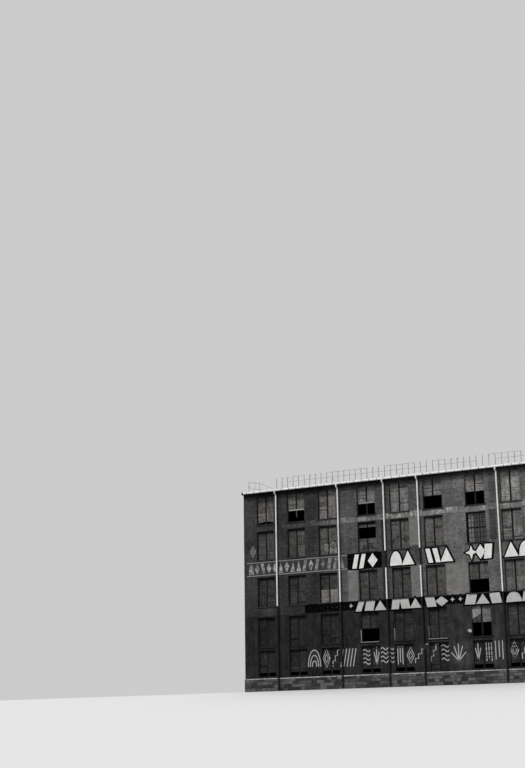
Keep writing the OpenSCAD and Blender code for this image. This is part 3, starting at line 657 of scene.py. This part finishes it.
# Boards over the windows. Their brightness at the left and right end of each row on the front, and row by
# row elsewhere: the paint low on the front darkens them, and they are more bleached higher up and to the
# right. Then the lower sheets that differ: their middle is less than LOWER_HALF above their row's limit.
FRONT_TONES = ((0.022, 0.022), (0.016, 0.04), (0.028, 0.1), (0.05, 0.14), (0.092, 0.2))
OTHER_TONES = (0.07, 0.075, 0.085, 0.09, 0.1)
LOWER_SHEETS = {(2, 2): 0.155, (0, 4): 0.04}
LOWER_HALF = 1.9
SHEET_HEIGHT = 1.22
SEAM = 0.018
BACKING = 0.007
RAGGED = 0.05
BATTEN_THICK = 0.018
BACKING_TONE = 0.15
PLANK_COUNTS = (1, 1, 2, 4, 5)
TORN_PLANKS = 6
BATTEN_TONES = (0.45, 1.35, 1.6)
NAIL = 0.012
NAILS_ACROSS = 5
NAIL_INSET = 0.05

# The window whose left leaf is partly covered by a paler sheet with a slanted foot, given as two heights
PATCHED = (1, 6)
PATCHED_TONES = (0.045, 0.12)
PATCH_TONE = 0.21
PATCH_FOOT = (0.33, 0.77)


def board(heap, nails, name, points, tone):
    """Replaces one plain board by sheets or planks on a dark backing, with nails and battens."""
    matrix = WALLS[name]
    low, high = extent(points)
    middle = (low.x + high.x) / 2
    left_foot = min(p.z for p in points if p.x < middle)
    right_foot = min(p.z for p in points if p.x > middle)
    torn = abs(left_foot - right_foot) > 0.02

    def foot(x):
        return left_foot + (right_foot - left_foot) * (x - low.x) / (high.x - low.x)

    lift = RAGGED if torn else 0.0
    behind = high.y - BACKING
    corners = [(low.x, left_foot + lift), (high.x, right_foot + lift), (high.x, high.z), (low.x, high.z)]
    heap.prism(corners, behind, high.y, tone * BACKING_TONE, matrix)
    count = TORN_PLANKS if torn else DRAW.choice(PLANK_COUNTS)
    width = (high.x - low.x) / count
    for i in range(count):
        x0 = low.x + i * width + (SEAM / 2 if i else 0)
        x1 = low.x + (i + 1) * width - (SEAM / 2 if i < count - 1 else 0)
        plank_tone = tone * DRAW.uniform(0.82, 1.2)
        front = low.y + DRAW.uniform(0.0, 0.004)
        if torn:
            ragged = [(x0, foot(x0) + DRAW.uniform(0, RAGGED)), (x1, foot(x1) + DRAW.uniform(0, RAGGED))]
            heap.prism(ragged + [(x1, high.z), (x0, high.z)], front, behind, plank_tone, matrix)
            continue
        z = low.z
        while z < high.z - 0.01:
            top = high.z if high.z - z < SHEET_HEIGHT * 1.3 or count > 2 else z + SHEET_HEIGHT
            seam = SEAM if top < high.z else 0
            heap.box((x0, front, z), (x1, behind, top - seam), plank_tone, matrix)
            plank_tone *= DRAW.uniform(0.78, 1.25)
            z = top
    for i in range(DRAW.choice((0, 1, 2, 3))):
        z = DRAW.uniform(max(left_foot, right_foot) + 0.1, high.z - 0.15)
        batten = (low.x, low.y - BATTEN_THICK, z), (high.x, low.y + 0.005, z + DRAW.uniform(0.05, 0.09))
        heap.box(*batten, tone * DRAW.choice(BATTEN_TONES), matrix)
    for z in (left_foot + 0.12, (left_foot + high.z) / 2, high.z - 0.08):
        for i in range(NAILS_ACROSS):
            x = low.x + NAIL_INSET + i * (high.x - low.x - 2 * NAIL_INSET) / (NAILS_ACROSS - 1)
            if z > foot(x) + NAIL_INSET:
                nails.head(x, z, NAIL, low.y - 0.004, low.y + 0.006, 0.1, matrix)


def patched_leaf(heap, low, high, centre):
    """One leaf of the patched window: a whole sheet, and on the left one the paler sheet."""
    right = low.x > centre
    heap.box(low, high, PATCHED_TONES[right], WALLS["front"])
    if not right:
        sheet = [(low.x, low.z + PATCH_FOOT[0]), (high.x, low.z + PATCH_FOOT[1])]
        sheet += [(high.x, high.z), (low.x, high.z)]
        heap.prism(sheet, low.y - 0.006, low.y, PATCH_TONE, WALLS["front"])


def boards(node, finish, nails):
    heap = Heap()
    for points in solids_of(node):
        name, local = wall_of(points)
        low, high = extent(local)
        row, column = window_of(low, high)
        tone = OTHER_TONES[row]
        if name == "front":
            left, right = FRONT_TONES[row]
            tone = left * (right / left) ** (column / (len(COLUMN_CENTRES) - 1))
            limit = ROW_LEVELS[row - 1] if row else GROUND
            if (low.z + high.z) / 2 < limit + LOWER_HALF:
                tone = LOWER_SHEETS.get((row, column), tone)
            if (row, column) == PATCHED:
                patched_leaf(heap, low, high, COLUMN_CENTRES[column])
                continue
        board(heap, nails, name, local, tone * DRAW.uniform(0.85, 1.15))
    heap.piece(node.replace("boards", "window_boards"), finish, "boards", [node])


# Window parts that keep some pale paint. The strips on the left jambs are also made bright to stand for
# light on those reveals, a painted highlight.
PALE_TRIM = {
    (1, 3): {"jamb": 0.75, "sill": 0.2}, (1, 4): {"jamb": 0.6}, (1, 5): {"sill": 0.2, "jamb": 0.45},
    (4, 1): {"rail": 0.26, "post": 0.06, "jamb": 0.12}, (4, 3): {"rail": 0.2},
}
FRAME_SIDE = 0.09
RAIL_FOOT = 1.2
RAIL_HEAD = 1.33
SILL_HIGH = 0.06
SILL_OUT = 0.07
FILM = 0.003


def pale_trim(finish):
    heap = Heap()
    for points in solids_of("front_frames"):
        name, local = wall_of(points)
        low, high = extent(local)
        middle = (low.x + high.x) / 2
        face = low.y - FILM
        boxes = {
            "jamb": ((low.x - FILM, 0.01, low.z), (low.x + FILM, low.y, low.z + RAIL_FOOT)),
            "rail": (
                (low.x + FRAME_SIDE, face, low.z + RAIL_FOOT),
                (high.x - FRAME_SIDE, low.y, low.z + RAIL_HEAD),
            ),
            "post": ((middle - 0.04, face, low.z + 0.5), (middle + 0.04, low.y, low.z + RAIL_FOOT)),
            "sill": ((low.x, -SILL_OUT - FILM, low.z - SILL_HIGH), (high.x, -SILL_OUT + FILM, low.z)),
        }
        for part, tone in PALE_TRIM.get(window_of(low, high), {}).items():
            heap.box(*boxes[part], tone, WALLS[name])
    heap.piece("pale_trim", finish, "old_timber")


# The window that keeps its sashes: panes across and up in each, the widths of its glazing bars and of the
# beads at its sides, and its row and column
PANES = (6, 3)
THIN_BAR = 0.044
THICK_BAR = 0.075
BEAD = 0.045
GLAZED = (3, 6)


def glazing_bars(finish):
    heap = Heap()
    for points in solids_of("sash_glass"):
        low, high = extent(points)
        middle = (low.y + high.y) / 2
        for i in range(1, PANES[0]):
            x = low.x + i * (high.x - low.x) / PANES[0]
            half = (THIN_BAR if i % 2 else THICK_BAR) / 2
            heap.box((x - half, middle - 0.02, low.z), (x + half, middle + 0.02, high.z))
        for i in range(1, PANES[1]):
            z = low.z + i * (high.z - low.z) / PANES[1]
            heap.box((low.x, middle - 0.016, z - THIN_BAR / 2), (high.x, middle + 0.016, z + THIN_BAR / 2))
    low, high = next(box for box in FRAMES if window_of(*box) == GLAZED)
    near, far = FRONT_FACE + 0.03, FRONT_FACE + 0.12
    heap.box((low.x, near, low.z), (low.x + BEAD, far, high.z))
    heap.box((high.x - BEAD, near, low.z), (high.x, far, high.z))
    heap.piece("glazing_bars", finish, "old_timber")


# Foundation stones, in front of the plain foundation walls
FOUNDATION_OUT = 0.05
STONE_PROUD = 0.02
STONE_COURSES = (0.34, 0.31, 0.3, 0.26)
STONE_LENGTHS = (0.4, 0.95)
STONE_GAP = 0.012
STONE_BEVEL = 0.02


def foundation_stones(finish):
    heap, gap = Heap(), STONE_GAP
    for name in ("front", "back", "left", "right"):
        half = END_FACE + FOUNDATION_OUT if name in ("front", "back") else -FRONT_FACE
        z = GROUND
        for height in STONE_COURSES:
            x = -half
            while x < half - 0.01:
                length = DRAW.uniform(*STONE_LENGTHS)
                if half - (x + length) < STONE_LENGTHS[0]:
                    length = half - x
                face = -FOUNDATION_OUT - DRAW.uniform(0.2, 1.0) * STONE_PROUD
                stone(heap, (x + gap, x + length - gap), (z + gap, z + height - gap), face, WALLS[name])
                x += length
            z += height
    heap.piece("foundation_stones", finish, "foundation")


def stone(heap, xs, zs, face, matrix):
    """A stone with a rough, chamfered face that stands out from the wall."""
    bevel = STONE_BEVEL
    inner = rectangle(xs[0] + bevel, xs[1] - bevel, zs[0] + bevel, zs[1] - bevel)
    points = [(x, 0.005 - FOUNDATION_OUT, z) for x, z in rectangle(*xs, *zs)]
    points += [(x, face + DRAW.uniform(0, 0.006), z) for x, z in inner]
    faces = [(3, 2, 1, 0), (4, 5, 6, 7)]
    faces += [(i, (i + 1) % 4, (i + 1) % 4 + 4, i + 4) for i in range(4)]
    heap.solid(points, faces, DRAW.uniform(0, 1), matrix)


# Roof felt, laid in strips from the eaves to the ridge cap
FELT_WIDTH = 0.95
FELT_THICK = 0.005
LAP = 0.09


def felt_strips(finish):
    heap = Heap()
    across = Matrix.Rotation(math.pi / 2, 4, "Z")
    for node in ("front_roof_slope", "back_roof_slope"):
        low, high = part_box(node)
        points = [v.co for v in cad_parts[node].data.vertices]
        eaves_y = low.y if abs(low.y) > abs(high.y) else high.y
        ridge_y = low.y + high.y - eaves_y
        eaves_z = max(p.z for p in points if abs(p.y - eaves_y) < 0.001)
        ridge_z = max(p.z for p in points if abs(p.y - ridge_y) < 0.001)
        cap_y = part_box("ridge_cap")[0 if eaves_y < 0 else 1].y
        cap_z = ridge_z + (eaves_z - ridge_z) * (cap_y - ridge_y) / (eaves_y - ridge_y)
        count = math.ceil((high.x - low.x) / FELT_WIDTH)
        width = (high.x - low.x) / count
        for i in range(count):
            x0 = low.x + i * width
            x1 = min(x0 + width + LAP, high.x)
            thick = FELT_THICK * (1 + i % 2)
            near_y = eaves_y + math.copysign(DRAW.uniform(0.0, 0.012), ridge_y - eaves_y)
            outline = [(near_y, eaves_z), (cap_y, cap_z), (cap_y, cap_z + thick), (near_y, eaves_z + thick)]
            if near_y > ridge_y:
                outline.reverse()
            heap.prism(outline, -x1, -x0, DRAW.uniform(0, 1), across)
    heap.piece("felt_strips", finish, "roof_felt")


# Bolts of the railing's foot plates and the wall anchors. What is narrower than PLATE_LEAST has no plate.
BOLT = 0.011
BOLT_INSET = 0.025
PLATE_THICK = 0.012
PLATE_LEAST = 0.1
ANCHOR_BOLT = 0.03


def bolts(finish):
    heap = Heap()
    for node in ("railing_posts", "bent_posts"):
        for points in solids_of(node):
            low, high = extent(points)
            plate_low, plate_high = extent([p for p in points if p.z < low.z + 0.05])
            if plate_high.x - plate_low.x < PLATE_LEAST:
                continue
            rise = plate_high.z - plate_low.z - PLATE_THICK
            for x in (plate_low.x + BOLT_INSET, plate_high.x - BOLT_INSET):
                for y in (plate_low.y + BOLT_INSET, plate_high.y - BOLT_INSET):
                    share = (y - plate_low.y) / (plate_high.y - plate_low.y)
                    z = plate_low.z + PLATE_THICK + share * rise
                    turn = Matrix.Translation((x, y, z)) @ Matrix.Rotation(-math.pi / 2, 4, "X")
                    heap.head(0, 0, BOLT, -PLATE_THICK, 0.0, 0.5, turn)
    for points in solids_of("anchor_plates"):
        low, high = extent(points)
        x, z = (low.x + high.x) / 2, (low.z + high.z) / 2
        heap.head(x, z, ANCHOR_BOLT, low.y - 0.02, low.y, 0.5, None)
    heap.piece("bolts", finish, "rail_iron")


# Plain painted shapes on the front
PAINT_THICK = 0.003
DARK_EDGE = 0.15
DROP_SHADOW = (0.13, -0.03)
BOARD_DEPTH = 0.23
STROKE = 0.09


def paint(heap, outline, coats, depth=0.0):
    """Coats of paint on the front, that depth behind the wall's face."""
    heap.prism(outline, depth - coats * PAINT_THICK, depth + 0.001, 0.5, WALLS["front"])


# Outlines of the bold shapes, as shares of their width and height
OUTLINES = {
    "bar": ((0, 0), (0.6, 0), (1, 1), (0.4, 1)),
    "back_bar": ((0.4, 0), (1, 0), (0.6, 1), (0, 1)),
    "block": ((0, 0), (0.82, 0), (1, 1), (0.18, 1)),
    "back_block": ((0.18, 0), (1, 0), (0.82, 1), (0, 1)),
    "triangle": ((0, 0), (1, 0), (0.5, 1)),
    "lozenge": ((0, 0.5), (0.5, 0), (1, 0.5), (0.5, 1)),
    "half_disc": [on_ellipse(0.5, 0, 0.5, 1, i * math.pi / 16) for i in range(17)],
    "star": [on_ellipse(0.5, 0.5, r, r, i * math.pi / 4) for i, r in enumerate((0.5, 0.19) * 4)],
}


def fitted(points, x, z, width, height):
    """Points given as shares of a rectangle, in their places."""
    return [(x + width * across, z + height * up) for across, up in points]


def grown(outline, by):
    """An outline with every side moved outwards, and its sharp corners cut short."""
    count = len(outline)
    moved = []
    for i in range(count):
        (ax, az), (bx, bz), (cx, cz) = outline[i - 1], outline[i], outline[(i + 1) % count]
        first = Vector((bz - az, ax - bx)).normalized()
        second = Vector((cz - bz, bx - cx)).normalized()
        half = (first + second).normalized()
        reach = by / max(half.dot(first), 0.45)
        moved.append((bx + half.x * reach, bz + half.y * reach))
    return moved


def hand_painted(outline):
    """The outline with corners a little off, as a hand leaves them."""
    return [(x + DRAW.uniform(-0.02, 0.02), z + DRAW.uniform(-0.02, 0.02)) for x, z in outline]


def ribbon(points, width):
    """The outline of a stroke of that width along some points."""
    left, right = [], []
    for i, (x, z) in enumerate(points):
        ax, az = points[max(i - 1, 0)]
        bx, bz = points[min(i + 1, len(points) - 1)]
        side = Vector((az - bz, bx - ax)).normalized() * width / 2
        left.append((x + side.x, z + side.y))
        right.append((x - side.x, z - side.y))
    return right + left[::-1]


# Bold shapes between the third and fourth rows of windows: kind, left end and width
MAIN_SHAPES = (
    ("bar", -5.25, 0.75), ("bar", -4.5, 0.75), ("lozenge", -3.55, 1.05),
    ("half_disc", -1.15, 1.25), ("triangle", 0.1, 1.3),
    ("back_bar", 2.6, 0.8), ("back_bar", 3.35, 0.8), ("triangle", 4.15, 1.3),
    ("star", 6.7, 1.2), ("lozenge", 7.75, 0.95), ("block", 8.55, 0.9),
    ("triangle", 10.6, 1.4), ("half_disc", 12.05, 1.2),
    ("lozenge", 14.1, 1.2), ("back_bar", 15.35, 0.8), ("bar", 16.15, 0.8),
)
# Bold shapes on the black band under them, and the small stars between
LOW_SHAPES = (
    ("bar", -5.05, 1.0), ("block", -4.05, 1.15), ("triangle", -3.0, 1.25),
    ("block", -1.2, 0.95), ("back_block", -0.3, 1.1), ("triangle", 0.75, 1.2),
    ("back_block", 2.35, 1.15), ("lozenge", 3.4, 1.3),
    ("block", 6.4, 1.25), ("triangle", 7.55, 1.3), ("back_block", 8.85, 1.25),
    ("half_disc", 10.5, 1.5), ("block", 12.05, 1.15), ("triangle", 13.2, 1.35),
    ("bar", 14.65, 1.1), ("lozenge", 15.8, 1.3),
)
LOW_STARS = (-5.75, 4.95, 5.75)
# Foot and top of a shape there, on a pier and under a window, and how far piers are from a window's centre
PIER_SHAPE = (7.2, 8.75)
SHORT_SHAPE = (7.47, 8.43)
PIER_FROM = 1.2

SIGN_KINDS = ("lozenge", "bar", "half_disc", "triangle", "back_bar", "star")
SIGN_PITCH = 0.69


def main_row():
    low, high = MAIN_BAND[0] + 0.1, MAIN_BAND[1] - 0.12
    return [fitted(OUTLINES[kind], x, low, width, high - low) for kind, x, width in MAIN_SHAPES]


def on_a_pier(left, right):
    """Whether a stretch of the front lies clear of every window."""
    return all(right < x - PIER_FROM or left > x + PIER_FROM for x in COLUMN_CENTRES)


def low_row():
    shapes = [fitted(OUTLINES["star"], x, LOW_BAND[0] + 0.2, 0.45, 0.5) for x in LOW_STARS]
    for kind, x, width in LOW_SHAPES:
        low, high = PIER_SHAPE if on_a_pier(x, x + width) else SHORT_SHAPE
        shapes.append(fitted(OUTLINES[kind], x, low, width, high - low))
    return shapes


def sign_row():
    """Shapes in flaking paint on the old sign band."""
    shapes = []
    x = SIGN_ENDS[0] + 0.25
    while x < SIGN_ENDS[1] - 0.6:
        outline = OUTLINES[DRAW.choice(SIGN_KINDS)]
        shapes.append(fitted(outline, x, SIGN_BAND[0] + 0.2, 0.56, SIGN_BAND[1] - SIGN_BAND[0] - 0.42))
        x += SIGN_PITCH
    return shapes


# Motifs of thin strokes low on the front, wide ones on piers and narrow ones on the leaves of the boards:
# kinds, step, widths, where they begin as seen from a window's centre, and the range of their feet and tops
WIDE_MOTIFS = ("arches", "hatch", "waves", "steps", "fan", "bars")
NARROW_MOTIFS = ("lozenges", "steps", "waves", "fan", "bars")
MOTIF_STEP = 0.34
WIDE_MOTIF = 1.7
NARROW_MOTIF = 0.76
PIER_EDGE = 1.1
LEAVES = (-0.92, 0.16)
MOTIF_FOOT = (2.1, 2.3)
MOTIF_TOP = (3.7, 4.0)


def wave(level, turns):
    """A wave from side to side of a rectangle, as shares of it."""
    steps = 10 * turns
    angle = 2 * math.pi * turns / steps
    return [(i / steps, level + 0.07 * math.sin(angle * i)) for i in range(steps + 1)]


def motif(kind, x, z, width, height):
    """The strokes of one plain motif that fills a rectangle."""
    count = max(3, round(width / MOTIF_STEP))
    steps = [(i / count, (i + 1) / count) for i in range(count)]
    turns = [math.pi * (i + 1) / (count + 1) for i in range(count)]
    lozenge = (*OUTLINES["lozenge"], OUTLINES["lozenge"][0])
    strokes = {
        "waves": [wave((i + 0.5) / 4, count // 2) for i in range(4)],
        "bars": [[((a + b) / 2, 0.12 * (i % 2)), ((a + b) / 2, 1)] for i, (a, b) in enumerate(steps)],
        "arches": [fitted(OUTLINES["half_disc"], (1 - r) / 2, 0, r, r) for r in (1, 0.68, 0.36)],
        "fan": [[(0.5, 0), on_ellipse(0.5, 0, 0.5, 1, turn)] for turn in turns],
        "steps": [[(0, 0)] + [point for a, b in steps for point in ((a, b), (b, b))]],
        "hatch": [[(a, 0), (b, 1)] for a, b in steps],
        "lozenges": [fitted(lozenge, (1 - r) / 2, (1 - r) / 2, r, r) for r in (1, 0.5)],
    }[kind]
    return [fitted(stroke, x, z, width, height) for stroke in strokes]


def thin_strokes():
    """Thin strokes low on the front, as path and depth behind the wall's face. Each motif stays within one
    pier or one board."""
    strokes = []
    wide, narrow = itertools.cycle(WIDE_MOTIFS), itertools.cycle(NARROW_MOTIFS)
    for left, right in zip(COLUMN_CENTRES[1:-2], COLUMN_CENTRES[2:-1]):
        room = right - left - 2 * PIER_EDGE
        places = [(left + PIER_EDGE, min(room, WIDE_MOTIF), 0.0)]
        places += [(right + leaf, NARROW_MOTIF, BOARD_DEPTH) for leaf in LEAVES]
        for x, width, depth in places:
            low, high = DRAW.uniform(*MOTIF_FOOT), DRAW.uniform(*MOTIF_TOP)
            kind = next(wide if width > 1.0 else narrow)
            strokes += [(path, depth) for path in motif(kind, x, low, width, high - low)]
    return strokes


# Small marks on the fourth storey: motif, left end, foot, width, height and depth behind the wall's face
DARK_MARKS = (
    ("steps", -0.85, 14.0, 0.68, 0.62, BOARD_DEPTH), ("lozenges", 0.18, 14.0, 0.68, 0.62, BOARD_DEPTH),
    ("fan", -4.3, 13.55, 0.7, 0.6, BOARD_DEPTH), ("waves", -3.45, 13.6, 0.5, 0.6, BOARD_DEPTH),
)
PALE_MARKS = (
    ("arches", -7.8, 13.5, 0.75, 1.1, BOARD_DEPTH), ("waves", -8.4, 13.7, 0.45, 0.8, BOARD_DEPTH),
    ("lozenges", -16.85, 13.7, 0.6, 1.2, 0.0),
)
DARK_STROKE = 0.07
PALE_STROKE = 0.045


def marks(heap, rows, stroke):
    for kind, x, z, width, height, depth in rows:
        for path in motif(kind, x, z, width, height):
            paint(heap, ribbon(path, stroke), 2, depth)


def paint_shapes(pale, dull, black, faded, chalky):
    light, lower, dark, old, thin = Heap(), Heap(), Heap(), Heap(), Heap()
    for heap, outlines in ((light, main_row()), (lower, low_row())):
        for outline in outlines:
            shape = hand_painted(outline)
            paint(heap, shape, 3)
            paint(dark, grown(shape, DARK_EDGE), 1)
            dropped = [(x + DROP_SHADOW[0], z + DROP_SHADOW[1]) for x, z in grown(shape, DARK_EDGE * 0.6)]
            paint(dark, dropped, 2)
    for outline in sign_row():
        paint(old, hand_painted(outline), 1)
    for path, depth in thin_strokes():
        paint(thin, ribbon(path, STROKE), 2, depth)
    marks(dark, DARK_MARKS, DARK_STROKE)
    marks(thin, PALE_MARKS, PALE_STROKE)
    light.piece("painted_shapes", pale, "brick")
    lower.piece("painted_shapes_low", dull, "brick")
    dark.piece("painted_outlines", black, "brick")
    old.piece("sign_shapes", faded, "brick")
    thin.piece("painted_lines", chalky, "brick")


# The yard lamp: a point on its shade's axis, the slope of that axis, and the radius of what is dark iron
LAMP_POINT = Vector((sum(c.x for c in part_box("yard_lamp")) / 2, FRONT_FACE - 0.227, 5.1))
LAMP_SLOPE = math.radians(50)
LAMP_HOLDER = 0.029
LAMP_COLLAR = 0.053


def lamp_finishes(enamel, iron):
    """White enamel on the lamp's shade, and dark iron on its arm and holder."""
    mesh = coat("yard_lamp", enamel, iron)
    axis = Vector((0, -math.cos(LAMP_SLOPE), -math.sin(LAMP_SLOPE)))
    for face in mesh.polygons:
        reach = face.center - LAMP_POINT
        along = reach.dot(axis)
        beside = (reach - along * axis).length
        face.material_index = 1 if beside < LAMP_HOLDER or along < LAMP_COLLAR else 0


# The stage, the lights and the camera
def stage_floor():
    """A pale floor, level round the building, that falls away in front of it to below the camera."""
    far = 400.0
    edge = FRONT_FACE - 0.2
    fall = 0.065
    points = []
    for y, z in ((-far, GROUND - (edge + far) * fall), (edge, GROUND), (far, GROUND)):
        points += [(-far, y, z), (far, y, z)]
    mesh = bpy.data.meshes.new("floor")
    mesh.from_pydata(points, [], [(0, 1, 3, 2), (2, 3, 5, 4)])
    floor = placed("floor", mesh)
    f = Finish("floor_finish")
    mesh.materials.append(f.finish(f.mix(f.seen(), grey(0.35, 0.0), grey(0.45, 0.0)), 0.95))


def sky():
    """Soft light from all sides, stronger from above, and a pale background."""
    f = Finish("sky", "worlds", "Background", "Generated")
    bpy.context.scene.world = f.material
    ramp = f.node("MapRange")
    for socket, value in zip(ramp.inputs, (f.axis("Z"), -0.1, 0.9, 0.32, 0.75)):
        f.feed(socket, value)
    f.feed(f.shader.inputs["Color"], grey(1.0, 0.0))
    f.feed(f.shader.inputs["Strength"], f.blend(f.seen(), ramp.outputs[0], 0.6))


def lamp(name, towards, energy, softness):
    """A large soft lamp far away, in that direction from the building."""
    light = bpy.data.lights.new(name, "SUN")
    light.energy = energy
    light.angle = math.radians(softness)
    made = placed(name, light)
    made.rotation_euler = Vector(towards).to_track_quat("Z", "Y").to_euler()


def camera():
    data = bpy.data.cameras.new("camera")
    data.sensor_width = SENSOR
    data.lens = CAMERA_LENS
    data.clip_end = 1000.0
    made = placed("camera", data)
    turn = Matrix.Rotation(math.radians(CAMERA_YAW), 4, "Z")
    tilt = Matrix.Rotation(math.radians(90 + CAMERA_PITCH), 4, "X")
    roll = Matrix.Rotation(math.radians(CAMERA_ROLL), 4, "Z")
    made.matrix_world = Matrix.Translation(CAMERA_PLACE) @ turn @ tilt @ roll
    bpy.context.scene.camera = made


# Putting it together
timber, felt = old_timber_finish(), felt_finish()
rail_iron = rail_iron_finish()
dark_iron = plain_finish(
    "dark_iron", grey(0.035, 0.08), (0.6, 1.5, 9.0, 5.0), (70.0, 5.0, 0.7), 0.0015, 0.65,
)
mortar = plain_finish("foundation_mortar", grey(0.03), (0.7, 1.2, 3.0, 5.0), (40.0, 5.0, 0.7), 0.006, 0.95)
slab = plain_finish("ground_slab", grey(0.12), (0.7, 1.15, 1.1, 5.0), (12.0, 5.0), 0.004, 0.9)
NODE_FINISHES = (
    (brick_front(), "front_piers", "front_spandrels"),
    (brick_plain(), "back_piers", "back_spandrels", "end_piers", "end_spandrels", "gables"),
    (mortar, "front_plinth", "back_plinth", "end_plinths"),
    (ledge_finish("ledge_stone", 0.36), "stone_ledge"),
    # The front sills are made dark partly as painted shade, for the dark line at each sill
    (ledge_finish("sill_stone", 0.028), "front_sills"),
    (ledge_finish("plain_sill_stone", 0.12), "other_sills"),
    (timber, "wall_plates", "fascias", "soffits", "front_frames", "other_frames", "sash_window"),
    (floor_finish(), "second_floor", "third_floor", "fourth_floor", "fifth_floor"),
    (slab, "ground_floor"),
    (felt, "front_roof_slope", "back_roof_slope"),
    (white_metal_finish(), "gutters", "swan_necks", "downpipes", "pipe_shoes", "pipe_clips"),
    (rail_iron, "railing_posts", "bent_posts", "railing_rails", "fallen_railing"),
    (dark_iron, "gutter_brackets", "anchor_plates", "ridge_cap"),
    (glass_finish(), "sash_glass"),
)
for material, *node_names in NODE_FINISHES:
    for node_name in node_names:
        coat(node_name, material)

weathered = board_finish()
nail_heads = Heap()
for storey in range(1, 6):
    boards(f"front_boards_{storey}", weathered, nail_heads)
boards("other_boards", weathered, nail_heads)
nail_heads.piece("board_nails", dark_iron, "dark_iron")
glazing_bars(timber)
felt_strips(felt)
bolts(rail_iron)
foundation_stones(foundation_finish())
pale_trim(trim_finish())
paint_shapes(
    painted_brick("pale_paint", 0.62), painted_brick("dull_paint", 0.4),
    painted_brick("black_paint", 0.0015, 0.99, 0.02), faded_paint(),
    painted_brick("chalky_paint", 0.36, 0.9, 0.02),
)
lamp_finishes(painted_brick("enamel", 0.92, 0.97, 0.1), dark_iron)
stage_floor()
sky()
lamp("key", (-0.28, -0.62, 0.85), 3.3, 8)
lamp("fill", (-0.5, 0.8, 0.7), 1.2, 40)
camera()
bpy.context.scene.view_settings.view_transform = "Standard"
